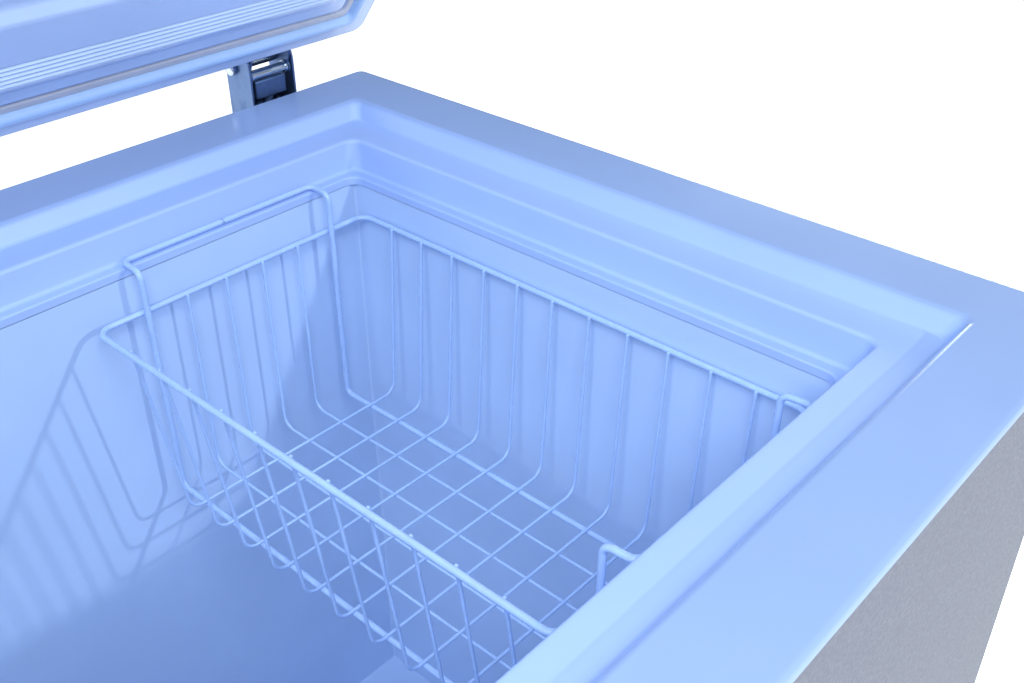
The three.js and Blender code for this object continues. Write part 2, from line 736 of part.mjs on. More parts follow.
// Underside of the lid as [inset, depth below the flange, corner radius].
const lidSection = [
  [1.4, 0, 6], [16.8, 0, 6], [17.4, -2.6, 6], [34.8, -2.6, 4], [35.6, 0.6, 4], [37.4, 4, 4],
  [39.4, 5.2, 4], [51, 5.5, 4], [53.4, 6.4, 4], [61, 11.8, 4], [63.2, 12.4, 4], [77, 9, 5],
  [107, 9, 6], [109, 8.4, 6], [115, 4.4, 8], [117, 4, 8],
];

function lidLiner() {
  const rings = (raise) =>
    lidSection.map(([inset, depth, radius]) => planRing(inset, lidLow - depth + raise, radius));
  return loft([...rings(0).reverse(), ...rings(lidLinerT)], false);
}

function lidGasket() {
  const section = [
    [17.9, -2.3, 6], [18.3, 1, 6], [18.5, 4, 6], [19.8, 6.4, 6], [22.4, 7.7, 6], [25, 6.6, 5],
    [26.5, 4.2, 5], [27.6, 2.8, 5], [33.6, 2.4, 4], [34.2, -2.3, 4],
  ];
  return loft(section.map(([inset, depth, radius]) => planRing(inset, lidLow - depth, radius)), true);
}

function lidFoam() {
  const above = lidSection.map(([inset, depth, radius]) =>
    planRing(inset, lidLow - depth + lidLinerT + FIT, radius),
  );
  const high = lidHigh - lidSkinT - FIT;
  const screws = [-1, 1].map((side) =>
    bar("y", DEPTH - 12, DEPTH + 5, [side * hingeX, armScrewZ], 3, 10),
  );
  const handleHoles = handleScrews.map((x) => bar("y", -5, 12, [x, handleZ], 3, 10));
  const block = loft(
    [
      ...above.reverse(),
      planRing(lidSkinT + 0.4, lidHigh - lidRound, lidCorner - lidSkinT),
      planRing(lidRound + 1, high, lidCorner + lidRound),
    ],
    false,
  );
  return cut(block, ...screws, ...handleHoles);
}

const handleZ = lidLow + 22;
const handleHalf = 85;
const handleOut = 34;
const handleScrews = [-handleHalf + 12, handleHalf - 12];

// Bridge handle on the front of the lid, with a finger gap.
function lidHandle() {
  const outline = new THREE.Shape();
  outline.moveTo(-handleHalf, -FIT);
  outline.lineTo(-handleHalf + 6, -handleOut + 12);
  outline.quadraticCurveTo(-handleHalf + 9, -handleOut, -handleHalf + 24, -handleOut);
  outline.lineTo(handleHalf - 24, -handleOut);
  outline.quadraticCurveTo(handleHalf - 9, -handleOut, handleHalf - 6, -handleOut + 12);
  outline.lineTo(handleHalf, -FIT);
  outline.lineTo(handleHalf - 24, -FIT);
  outline.lineTo(handleHalf - 27, -handleOut + 13);
  outline.lineTo(-handleHalf + 27, -handleOut + 13);
  outline.lineTo(-handleHalf + 24, -FIT);
  const bevel = { bevelThickness: 1.5, bevelSize: 1.5, bevelOffset: -1.5, bevelSegments: 1 };
  const grip = new THREE.ExtrudeGeometry(outline, { depth: 17, curveSegments: 4, ...bevel });
  grip.translate(0, 0, handleZ - 10 + 1.5);
  const holes = handleScrews.flatMap((x) => [
    bar("y", -60, 10, [x, handleZ], 2.3, 10),
    bar("y", -60, -7, [x, handleZ], 5, 12),
  ]);
  return cut(grip, ...holes);
}

function handleScrew(x) {
  const seat = -7 - FIT;
  const profile = [[0, seat - 2.6], [3.8, seat - 2], [4.4, seat], [2, seat], [2, 8], [0, 9]];
  return turned(profile, x, 0, handleZ, "y", 8);
}

// ---------- basket ----------
// Welded wires, joined into one piece: rim, two hook loops, cross wires and lengthwise wires.
function wireBasket() {
  const [cx, cy] = [tubX - BASKET_GAP_X - BASKET_HALF_X, DEPTH / 2];
  const halfY = DEPTH / 2 - WALL - BASKET_GAP_Y;
  const rimZ = RIM - BASKET_RIM_DROP;
  const crossZ = RIM - BASKET_FLOOR_DROP;
  const rimCorners = [[1, 1], [-1, 1], [-1, -1], [1, -1]].map(([sx, sy]) =>
    point(cx + sx * BASKET_HALF_X, cy + sy * halfY, rimZ),
  );
  const rim = wire(bend(rimCorners, 9, 3, true), THICK_WIRE, 6, true);

  const insideRim = THICK_WIRE + THIN_WIRE - WELD;
  const top = rimZ + 1;
  const crossTop = BASKET_HALF_X - insideRim;
  const [lowRight, lowLeft] = [crossTop - BASKET_LEAN_RIGHT, crossTop - BASKET_LEAN_LEFT];
  const eachSide = Math.floor((halfY - WIRE_END_GAP) / WIRE_PITCH);
  const crossWires = Array.from({ length: 2 * eachSide + 1 }, (_, i) => {
    const y = cy + (i - eachSide) * WIRE_PITCH;
    const corners = [
      point(cx + crossTop, y, top), point(cx + lowRight, y, crossZ),
      point(cx - lowLeft, y, crossZ), point(cx - crossTop, y, top),
    ];
    return wire(bend(corners, 9, 2), THIN_WIRE, 5);
  });

  const longZ = crossZ - 2 * THIN_WIRE + WELD;
  const longTop = halfY - insideRim;
  const longWires = [-1.5, -0.5, 0.5, 1.5].map((k) => {
    const x = cx + k * WIRE_PITCH;
    const corners = [
      point(x, cy + longTop, top), point(x, cy + longTop - 1, longZ),
      point(x, cy - longTop + 1, longZ), point(x, cy - longTop, top),
    ];
    return wire(bend(corners, 9, 2), THIN_WIRE, 5);
  });

  // Half a hook loop: from the middle of the rear ledge bar, down, under the floor, up to the front bar.
  const loopX = 2.5 * WIRE_PITCH;
  const ledge = { half: DEPTH / 2 - WALL + LEDGE_BAR, z: RIM - LEDGE_DROP + THICK_WIRE + FIT };
  const armY = halfY - 2 * THICK_WIRE + WELD;
  const armZ = crossZ - THIN_WIRE - THICK_WIRE + WELD;
  const hookLoop = (side) => {
    const x = cx + side * loopX;
    const down = (sy) => [
      point(x, cy + sy * ledge.half, ledge.z),
      point(x, cy + sy * armY, ledge.z - 1), point(x, cy + sy * (armY - 1), armZ),
    ];
    const corners = [
      point(cx - side * 0.5, cy + ledge.half, ledge.z), ...down(1),
      ...down(-1).reverse(), point(cx - side * 0.5, cy - ledge.half, ledge.z),
    ];
    return wire(bend(corners, 5.5, 3), THICK_WIRE, 6);
  };
  return join(rim, hookLoop(1), hookLoop(-1), ...crossWires, ...longWires);
}

// ---------- assembly ----------
add(cabinet, "top_frame", topFrame(), glossWhite);
add(cabinet, "cabinet_wrap", cabinetWrap(), paintedSteel);
add(cabinet, "rear_panel", rearPanel(), paintedSteel);
add(cabinet, "base_pan", basePan(), zinc);
add(cabinet, "inner_liner", innerLiner(), linerWhite);
add(cabinet, "foam_fill", foamFill(), foamYellow);
add(cabinet, "evaporator_coil", evaporatorCoil(), copper);
add(cabinet, "condenser_coil", condenserCoil(), copper);
add(cabinet, "compressor", compressor(), blackEnamel);
add(cabinet, "compressor_rail", compressorRail(), zinc);
[[-1, -1, "front_left"], [1, -1, "front_right"], [-1, 1, "rear_left"], [1, 1, "rear_right"]].forEach(
  ([sx, sy, name]) => add(cabinet, "compressor_mount_" + name, compressorMount(sx, sy), rubber),
);
add(cabinet, "relay_box", relayBox(), darkPlastic);
add(cabinet, "discharge_pipe", dischargePipe(), copper);
add(cabinet, "suction_pipe", suctionPipe(), copper);
add(cabinet, "filter_drier", filterDrier(), copper);
add(cabinet, "compressor_grille", compressorGrille(), glossWhite);
add(cabinet, "control_plate", controlPlate(), glossWhite);
add(cabinet, "thermostat_body", thermostatBody(), darkPlastic);
add(cabinet, "thermostat_knob", thermostatKnob(), glossWhite);
[["power", "#3fbf5a"], ["running", "#e0a21f"], ["alarm", "#cf3a2c"]].forEach(([name, color], i) =>
  add(cabinet, "lamp_" + name, indicatorLamp(lampX[i]), lampFinish(color)),
);
add(cabinet, "drain_pipe", drainPipe(), darkPlastic);
add(cabinet, "drain_cap", drainCap(), glossWhite);
add(cabinet, "drain_plug", drainPlug(), glossWhite);
add(cabinet, "cord_gland", cordGland(), rubber);
feet.forEach((foot) => add(cabinet, "foot_" + foot.name, levellingFoot(foot), darkPlastic));
add(cabinet, "wire_basket", wireBasket(), coatedWire);

add(lid, "lid_skin", lidSkin(), glossWhite);
add(lid, "lid_liner", lidLiner(), glossWhite);
add(lid, "lid_foam", lidFoam(), foamYellow);
add(lid, "lid_gasket", lidGasket(), gasketGrey);
add(lid, "lid_handle", lidHandle(), glossWhite);
handleScrews.forEach((x, i) => add(lid, "handle_screw_" + ["left", "right"][i], handleScrew(x), zinc));

[[-1, "left"], [1, "right"]].forEach(([side, name]) => {
  const x = side * hingeX;
  add(cabinet, "hinge_base_" + name, hingeBase(x), paintedSteel);
  add(cabinet, "hinge_pin_" + name, hingePin(x), zinc);
  add(cabinet, "hinge_plunger_" + name, plunger(x), zinc);
  add(cabinet, "hinge_spring_" + name, hingeSpring(x), zinc);
  add(cabinet, "hinge_screw_" + name + "_a", hingeScrew(x - screwX), zinc);
  add(cabinet, "hinge_screw_" + name + "_b", hingeScrew(x + screwX), zinc);
  add(lid, "hinge_arm_" + name, hingeArm(x), paintedSteel);
  add(lid, "hinge_follower_" + name, hingeFollower(x), zinc);
  add(lid, "arm_screw_" + name, armScrew(x), zinc);
});

// Swing the lid open about the pivots.
lid.children.forEach((mesh) => mesh.position.set(0, -pivotY, -pivotZ));
lid.position.set(0, pivotY, pivotZ);
lid.rotation.x = -open;

// The origin is the middle of the whole object's box, on the floor.
const freezer = new THREE.Group();
freezer.add(cabinet, lid);
freezer.updateMatrixWorld(true);
const bounds = new THREE.Box3().setFromObject(freezer, true);
const middle = bounds.getCenter(new THREE.Vector3());
freezer.position.set(-middle.x, -middle.y, -bounds.min.z);

export default freezer;
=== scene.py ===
"""Chest freezer with its lid held open on sprung hinges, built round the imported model."""

import json
import logging
import math
from dataclasses import dataclass
from enum import Enum
from typing import Iterable, Optional, Sequence, Union

import bmesh
import bpy
from mathutils import Matrix, Vector


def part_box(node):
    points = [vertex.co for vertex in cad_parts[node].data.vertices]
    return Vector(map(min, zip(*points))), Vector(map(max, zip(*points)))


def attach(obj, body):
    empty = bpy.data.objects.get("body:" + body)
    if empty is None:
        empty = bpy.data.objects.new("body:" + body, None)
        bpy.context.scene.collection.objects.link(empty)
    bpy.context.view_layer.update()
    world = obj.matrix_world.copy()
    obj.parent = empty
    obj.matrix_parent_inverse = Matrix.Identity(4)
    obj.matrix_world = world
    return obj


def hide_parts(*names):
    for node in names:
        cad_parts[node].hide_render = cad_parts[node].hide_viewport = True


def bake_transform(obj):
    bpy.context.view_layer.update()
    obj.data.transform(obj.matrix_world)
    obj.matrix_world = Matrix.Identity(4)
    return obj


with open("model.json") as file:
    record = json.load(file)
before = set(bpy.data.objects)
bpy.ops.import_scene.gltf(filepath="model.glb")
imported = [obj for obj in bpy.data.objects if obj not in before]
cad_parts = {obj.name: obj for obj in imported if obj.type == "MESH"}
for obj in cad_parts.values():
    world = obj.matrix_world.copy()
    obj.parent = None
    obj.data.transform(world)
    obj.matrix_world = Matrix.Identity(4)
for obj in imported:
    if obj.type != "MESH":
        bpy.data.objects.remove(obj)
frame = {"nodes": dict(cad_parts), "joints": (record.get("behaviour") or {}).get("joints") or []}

log = logging.getLogger("freezer")

MM = 0.001
Pair = tuple[float, float]
Corner = tuple[float, float, float]
Colour = tuple[float, float, float]
Number = Union[float, int]


# ---------- shader expressions ----------
class Value:
    """One output of a shader node, which takes part in Python arithmetic."""

    def __init__(self, graph: "Graph", socket: bpy.types.NodeSocket) -> None:
        """Wraps a socket.

        Args:
            graph: the material that the socket belongs to.
            socket: an output socket.
        """
        self.graph = graph
        self.socket = socket

    def _math(self, operation: str, *operands: Union["Value", Number]) -> "Value":
        """Adds one Math node.

        Args:
            operation: the node's operation.
            operands: values or numbers, in the node's order.

        Returns:
            The node's output.
        """
        return self.graph.node("ShaderNodeMath", {"operation": operation}, dict(enumerate(operands)))

    def __add__(self, other: Union["Value", Number]) -> "Value":
        """self + other."""
        return self._math("ADD", self, other)

    def __radd__(self, other: Number) -> "Value":
        """other + self."""
        return self._math("ADD", other, self)

    def __sub__(self, other: Union["Value", Number]) -> "Value":
        """self - other."""
        return self._math("SUBTRACT", self, other)

    def __rsub__(self, other: Number) -> "Value":
        """other - self."""
        return self._math("SUBTRACT", other, self)

    def __mul__(self, other: Union["Value", Number]) -> "Value":
        """self * other."""
        return self._math("MULTIPLY", self, other)

    def __rmul__(self, other: Number) -> "Value":
        """other * self."""
        return self._math("MULTIPLY", other, self)

    def __truediv__(self, other: Union["Value", Number]) -> "Value":
        """self / other."""
        return self._math("DIVIDE", self, other)

    def __pow__(self, other: Union["Value", Number]) -> "Value":
        """self ** other."""
        return self._math("POWER", self, other)

    def between(self, low: float, high: float) -> "Value":
        """A soft step, 0 below low and 1 above high.

        Args:
            low: where the step begins.
            high: where it ends.

        Returns:
            The step.
        """
        settings = {"interpolation_type": "SMOOTHSTEP"}
        return self.graph.node("ShaderNodeMapRange", settings, {0: self, 1: low, 2: high})


class Graph:
    """The node tree of one material, with its Principled shader."""

    def __init__(self, name: str) -> None:
        """Makes an empty material.

        Args:
            name: the material's name.
        """
        self.material = bpy.data.materials.new(name)
        self.material.use_nodes = True
        self.tree = self.material.node_tree
        self.tree.nodes.clear()
        self.shader = self.tree.nodes.new("ShaderNodeBsdfPrincipled")
        output = self.tree.nodes.new("ShaderNodeOutputMaterial")
        self.tree.links.new(self.shader.outputs[0], output.inputs[0])
        coordinates = self.tree.nodes.new("ShaderNodeTexCoord")
        self.place = Value(self, coordinates.outputs["Object"])

    def connect(self, node: bpy.types.Node, name: Union[str, int], value: object) -> None:
        """Links a value to an input, or sets the input to a number.

        Args:
            node: the node to feed.
            name: the input's name or index.
            value: a Value, a number or a tuple.
        """
        if isinstance(value, Value):
            self.tree.links.new(value.socket, node.inputs[name])
        else:
            node.inputs[name].default_value = value

    def node(self, kind: str, settings: dict, inputs: dict, output: Union[str, int] = 0) -> Value:
        """Adds a node.

        Args:
            kind: the node's type.
            settings: its own settings; "stops" are a colour ramp's (position, colour) pairs.
            inputs: its inputs, by name or index.
            output: the output wanted.

        Returns:
            That output.
        """
        made = self.tree.nodes.new(kind)
        for name, value in settings.items():
            if name == "stops":
                for stop, (position, colour) in zip(made.color_ramp.elements, value):
                    stop.position = position
                    stop.color = (*colour, 1)
            else:
                setattr(made, name, value)
        for name, value in inputs.items():
            self.connect(made, name, value)
        return Value(self, made.outputs[output])

    def noise(
        self, size_mm: float, detail: float = 2, stretch: Colour = (1, 1, 1), rough: float = 0.5,
    ) -> Value:
        """Noise whose lumps are about a given size.

        Args:
            size_mm: size of the lumps.
            detail: octaves.
            stretch: factors on X, Y and Z.
            rough: roughness of the octaves.

        Returns:
            A value about 0.5.
        """
        scaled = self.node("ShaderNodeMapping", {}, {"Vector": self.place, "Scale": stretch})
        inputs = {"Vector": scaled, "Scale": 1 / (size_mm * MM), "Detail": detail, "Roughness": rough}
        return self.node("ShaderNodeTexNoise", {}, inputs, "Fac")

    def cells(self, size_mm: float, feature: str = "F1") -> Value:
        """Distance from the nearest of scattered points.

        Args:
            size_mm: distance between the points.
            feature: the cells' feature.

        Returns:
            A value from 0 to about 1.
        """
        inputs = {"Vector": self.place, "Scale": 1 / (size_mm * MM)}
        return self.node("ShaderNodeTexVoronoi", {"feature": feature}, inputs, "Distance")

    def blend(self, factor: Union[Value, float], first: object, second: object) -> Value:
        """Mixes two colours.

        Args:
            factor: 0 for the first, 1 for the second.
            first: a colour or a Value.
            second: a colour or a Value.

        Returns:
            The mixed colour.
        """
        settings = {"data_type": "RGBA"}
        colours = [(*c, 1) if isinstance(c, tuple) else c for c in (first, second)]
        return self.node("ShaderNodeMix", settings, {0: factor, 6: colours[0], 7: colours[1]}, 2)

    def bump(self, height: Value, depth_mm: float, strength: float = 1.0) -> None:
        """Feeds a bump to the shader's normal.

        Args:
            height: a value from 0 to 1.
            depth_mm: height of the relief.
            strength: share of the effect.
        """
        inputs = {"Height": height, "Distance": depth_mm * MM, "Strength": strength}
        self.connect(self.shader, "Normal", self.node("ShaderNodeBump", {}, inputs))


@dataclass(frozen=True)
class Finish:
    """What a surface is made of. The base class is a plain sealed surface with faint handling marks."""

    name: str
    slot: str
    colour: Colour
    roughness: float
    metallic: float = 0.0
    coat: float = 0.0

    def material(self) -> bpy.types.Material:
        """The finish's material, made once.

        Returns:
            The material.
        """
        found = bpy.data.materials.get(self.name)
        if found:
            return found
        graph = Graph(self.name)
        shader = graph.shader.inputs
        shader["Metallic"].default_value = self.metallic
        shader["Coat Weight"].default_value = self.coat
        shader["Coat Roughness"].default_value = 0.08
        shader["Base Color"].default_value = (*self.colour, 1)
        shader["Roughness"].default_value = self.roughness
        self.pattern(graph)
        return graph.material

    def shade(self, factor: float) -> Colour:
        """The colour, lighter or darker.

        Args:
            factor: multiplies each channel.

        Returns:
            The new colour.
        """
        return tuple(min(channel * factor, 1.0) for channel in self.colour)

    def vary(self, graph: Graph, mask: Value, colour_range: Pair, roughness_range: Pair) -> None:
        """Varies colour and roughness with a mask.

        Args:
            graph: the material.
            mask: 0 to 1.
            colour_range: shade factors at 0 and 1.
            roughness_range: roughness at 0 and 1.
        """
        low, high = (self.shade(factor) for factor in colour_range)
        graph.connect(graph.shader, "Base Color", graph.blend(mask, low, high))
        rough = mask * (roughness_range[1] - roughness_range[0]) + roughness_range[0]
        graph.connect(graph.shader, "Roughness", rough)

    def pattern(self, graph: Graph) -> None:
        """Adds what varies over the surface.

        Args:
            graph: the material.
        """
        mask = graph.noise(45, 3).between(0.35, 0.65)
        self.vary(graph, mask, (0.98, 1.02), (self.roughness * 0.92, self.roughness * 1.08))


@dataclass(frozen=True)
class MouldedPlastic(Finish):
    """Glossy plastic: slow waves of the mould, faint sink marks and a few fine scuffs."""

    wave_mm: float = 38
    wave_depth_mm: float = 0.05

    def pattern(self, graph: Graph) -> None:
        """Adds waves, scuffs and a slight drift of colour.

        Args:
            graph: the material.
        """
        slow = graph.noise(self.wave_mm, 1)
        fine = graph.noise(1.6, 2)
        scuff = graph.noise(2.2, 3, (1, 9, 9)).between(0.66, 0.74)
        mask = graph.noise(90, 3).between(0.3, 0.7)
        low, high = self.shade(0.97), self.shade(1.03)
        graph.connect(graph.shader, "Base Color", graph.blend(mask, low, high))
        rough = scuff * 0.10 + fine * 0.04 + (self.roughness - 0.02)
        graph.connect(graph.shader, "Roughness", rough)
        graph.bump(slow + fine * 0.03, self.wave_depth_mm)


@dataclass(frozen=True)
class CollarPlastic(MouldedPlastic):
    """The collar's plastic, with painted shade darkening its flat top."""

    flat_shade: float = 0.84
    flat_depth_mm: float = 3.2

    def pattern(self, graph: Graph) -> None:
        """Adds painted shade to the flat top of the moulded surface.

        Args:
            graph: the material.
        """
        super().pattern(graph)
        top = PLACE.rim * MM
        parts = graph.node("ShaderNodeSeparateXYZ", {}, {0: graph.place}, "Z")
        flat = parts.between(top - self.flat_depth_mm * MM, top - 0.2 * MM)
        drift = graph.noise(110, 3).between(0.3, 0.7)
        lit = graph.blend(drift, self.shade(0.98), self.shade(1.02))
        # painted shade: the flat top gets a darker copy of the colour (dull), standing in for the shade on
        # the flat
        dull = graph.blend(drift, self.shade(self.flat_shade * 0.97), self.shade(self.flat_shade * 1.03))
        graph.connect(graph.shader, "Base Color", graph.blend(flat, lit, dull))
        graph.connect(graph.shader, "Roughness", flat * -0.24 + graph.noise(1.6, 2) * 0.04 + self.roughness)


@dataclass(frozen=True)
class PeelPaint(Finish):
    """Powder paint on sheet steel, with the fine pebbled skin it dries to."""

    pebble_mm: float = 1.5
    depth_mm: float = 0.11

    def pattern(self, graph: Graph) -> None:
        """Adds pebbles, a little darker in their valleys.

        Args:
            graph: the material.
        """
        pebbles = 1 - graph.cells(self.pebble_mm, "SMOOTH_F1")
        grain = graph.noise(self.pebble_mm * 1.7, 3)
        height = pebbles * 0.6 + grain * 0.6
        mask = height.between(0.45, 0.95)
        self.vary(graph, mask, (0.94, 1.03), (self.roughness + 0.05, self.roughness - 0.05))
        graph.bump(height, self.depth_mm)


@dataclass(frozen=True)
class DippedWire(Finish):
    """Plastic-dipped wire: thick glossy coat that runs a little and pools."""

    def pattern(self, graph: Graph) -> None:
        """Adds runs in the coat.

        Args:
            graph: the material.
        """
        runs = graph.noise(7, 2, (1, 1, 0.45))
        mask = runs.between(0.35, 0.7)
        self.vary(graph, mask, (0.96, 1.03), (self.roughness + 0.04, self.roughness - 0.04))
        graph.bump(runs, 0.25)


@dataclass(frozen=True)
class ZincPlate(Finish):
    """Bright zinc plating: crystal spangle, rolling lines and dull spots."""

    spangle_mm: float = 5.0

    def pattern(self, graph: Graph) -> None:
        """Adds spangle and rolling lines.

        Args:
            graph: the material.
        """
        spangle = graph.cells(self.spangle_mm)
        lines = graph.noise(0.6, 2, (1, 1, 0.05))
        dull = graph.noise(12, 3).between(0.5, 0.72)
        mask = spangle * 0.6 + lines * 0.4
        self.vary(graph, mask, (0.82, 1.12), (self.roughness - 0.08, self.roughness + 0.10))
        rough = mask * 0.16 + dull * 0.2 + (self.roughness - 0.08)
        graph.connect(graph.shader, "Roughness", rough)
        graph.bump(lines, 0.02)


@dataclass(frozen=True)
class DrawnMetal(Finish):
    """Drawn tube or bar: brightness that drifts, with oxide on the dull patches."""

    tarnish: Colour = (0.2, 0.1, 0.06)

    def pattern(self, graph: Graph) -> None:
        """Adds tarnish.

        Args:
            graph: the material.
        """
        patches = graph.noise(18, 4).between(0.48, 0.68)
        fine = graph.noise(1.2, 2)
        graph.connect(graph.shader, "Base Color", graph.blend(patches * 0.6, self.colour, self.tarnish))
        graph.connect(graph.shader, "Roughness", patches * 0.22 + fine * 0.08 + self.roughness)


@dataclass(frozen=True)
class BlackEnamel(Finish):
    """Sprayed black enamel on steel, with patches of dust."""

    dust: Colour = (0.17, 0.165, 0.155)

    def pattern(self, graph: Graph) -> None:
        """Adds dust and the spray's texture.

        Args:
            graph: the material.
        """
        dust = graph.noise(9, 4).between(0.45, 0.75)
        graph.connect(graph.shader, "Base Color", graph.blend(dust * 0.3, self.colour, self.dust))
        graph.connect(graph.shader, "Roughness", dust * 0.3 + self.roughness)
        graph.bump(graph.noise(1.4, 2), 0.05)


@dataclass(frozen=True)
class RigidFoam(Finish):
    """Blown insulating foam: open cells under a torn skin."""

    cell_mm: float = 1.8

    def pattern(self, graph: Graph) -> None:
        """Adds cells.

        Args:
            graph: the material.
        """
        cells = graph.cells(self.cell_mm)
        age = graph.noise(30, 4).between(0.35, 0.7)
        low, high = self.shade(0.78), self.shade(1.08)
        graph.connect(graph.shader, "Base Color", graph.blend(cells * 0.5 + age * 0.4, low, high))
        graph.bump(cells, 0.5)


@dataclass(frozen=True)
class SoftRubber(Finish):
    """Rubber or soft vinyl: matt, with bloom on its surface."""

    bloom: float = 1.25

    def pattern(self, graph: Graph) -> None:
        """Adds bloom and a fine grain.

        Args:
            graph: the material.
        """
        bloom = graph.noise(14, 4).between(0.4, 0.75)
        self.vary(graph, bloom, (1.0, self.bloom), (self.roughness, min(self.roughness + 0.1, 1)))
        graph.bump(graph.noise(0.9, 2), 0.03)


@dataclass(frozen=True)
class LampLens(Finish):
    """Small moulded lens of an indicator lamp, with moulded prisms."""

    def pattern(self, graph: Graph) -> None:
        """Adds prisms.

        Args:
            graph: the material.
        """
        prisms = graph.cells(0.9)
        self.vary(graph, prisms, (0.8, 1.15), (self.roughness, self.roughness + 0.06))
        graph.bump(prisms, 0.12)


class Finishes(Enum):
    """Every finish on the freezer."""

    FRAME = CollarPlastic("collar_gloss", "frame_plastic", (0.41, 0.545, 0.87), 0.42)
    # painted light: the lid's inside is lighter than the tub's liner of the same plastic, standing in for
    # light on its downward face
    LID_INSIDE = MouldedPlastic("lid_inside_gloss", "liner_plastic", (0.57, 0.69, 0.93), 0.26, coat=0.1)
    LINER = MouldedPlastic("tub_wall", "liner_plastic", (0.52, 0.665, 0.92), 0.38, wave_mm=120)
    STEEL = PeelPaint("pebbled_paint", "painted_steel", (0.15, 0.16, 0.215), 0.42)
    LID_PAINT = PeelPaint("lid_pebbled_paint", "lid_paint", (0.4, 0.55, 0.86), 0.4, depth_mm=0.06)
    WIRE = DippedWire("dipped_wire", "coated_wire", (0.45, 0.61, 0.94), 0.3, coat=0.1)
    # painted shade: the zinc's colour is dark blue, the shaded tone of the hinge cheek; the bright pin is the
    # same zinc
    ZINC = ZincPlate("bright_zinc", "zinc_steel", (0.12, 0.19, 0.35), 0.4, metallic=0.85)
    PIN = DrawnMetal("bright_pin", "zinc_steel", (0.62, 0.7, 0.8), 0.16, 1.0, tarnish=(0.3, 0.36, 0.45))
    ENAMEL = BlackEnamel("black_enamel", "black_enamel", (0.012, 0.013, 0.015), 0.32)
    COPPER = DrawnMetal("copper_tube", "copper_tube", (0.72, 0.33, 0.17), 0.24, 1.0)
    FOAM = RigidFoam("blown_foam", "foam", (0.74, 0.62, 0.34), 0.9)
    RUBBER = SoftRubber("black_rubber", "black_rubber", (0.024, 0.025, 0.027), 0.75)
    GASKET = SoftRubber("magnetic_gasket", "gasket", (0.48, 0.66, 0.93), 0.45, bloom=1.04)
    SEALANT = SoftRubber("seam_sealant", "liner_plastic", (0.24, 0.33, 0.5), 0.55, bloom=1.1)
    GASKET_LIP = SoftRubber("gasket_lip", "gasket", (0.62, 0.6, 0.64), 0.5, bloom=1.08)
    DARK = SoftRubber("dark_plastic", "dark_plastic", (0.04, 0.045, 0.055), 0.45, bloom=1.15)
    TRIM = MouldedPlastic("trim_plastic", "frame_plastic", (0.46, 0.65, 0.94), 0.3)
    GREEN = LampLens("green_lens", "lamp_green", (0.03, 0.4, 0.09), 0.12)
    AMBER = LampLens("amber_lens", "lamp_amber", (0.75, 0.27, 0.02), 0.12)
    RED = LampLens("red_lens", "lamp_red", (0.5, 0.02, 0.015), 0.12)


class Side(Enum):
    """Which end of the freezer a hinge stands at."""

    LEFT = -1
    RIGHT = 1


class Axis(Enum):
    """An axis of the freezer."""

    X = (1, 0, 0)
    Y = (0, 1, 0)
    Z = (0, 0, 1)


# ---------- the frame's places ----------
@dataclass(frozen=True)
class Place:
    """The cabinet's own frame in millimetres: X from the middle, Y from the front edge, Z from the floor."""

    width: float
    depth: float
    rim: float
    front: float

    @staticmethod
    def read() -> "Place":
        """Reads the outline from the top frame.

        Returns:
            The place.
        """
        low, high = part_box("top_frame")
        return Place((high.x - low.x) / MM, (high.y - low.y) / MM, high.z / MM, low.y)

    def to_metres(self) -> Matrix:
        """The matrix from the cabinet's millimetres to the row frame."""
        return Matrix.Translation((0, self.front, 0)) @ Matrix.Scale(MM, 4)

    def box(self, node: str) -> tuple[Vector, Vector]:
        """A CAD node's corners in the cabinet's millimetres.

        Args:
            node: its name.

        Returns:
            Lowest and highest corner.
        """
        back = self.to_metres().inverted()
        low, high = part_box(node)
        return back @ low, back @ high

    def hinge_line(self) -> Vector:
        """A point on the lid's pivot line, in the cabinet's millimetres."""
        joint = next(j for j in frame["joints"] if j["name"] == "lid_hinge")
        return self.to_metres().inverted() @ Vector(joint["pos_m"])

    def lid_swing(self) -> Matrix:
        """The matrix that carries the shut lid to where it stands open, in the cabinet's millimetres."""
        joint = next(j for j in frame["joints"] if j["name"] == "lid_hinge")
        pivot = self.hinge_line()
        turn = Matrix.Rotation(-math.radians(joint["range_deg"][0]), 4, Vector(joint["axis"]))
        return Matrix.Translation(pivot) @ turn @ Matrix.Translation(-pivot)


PLACE = Place.read()


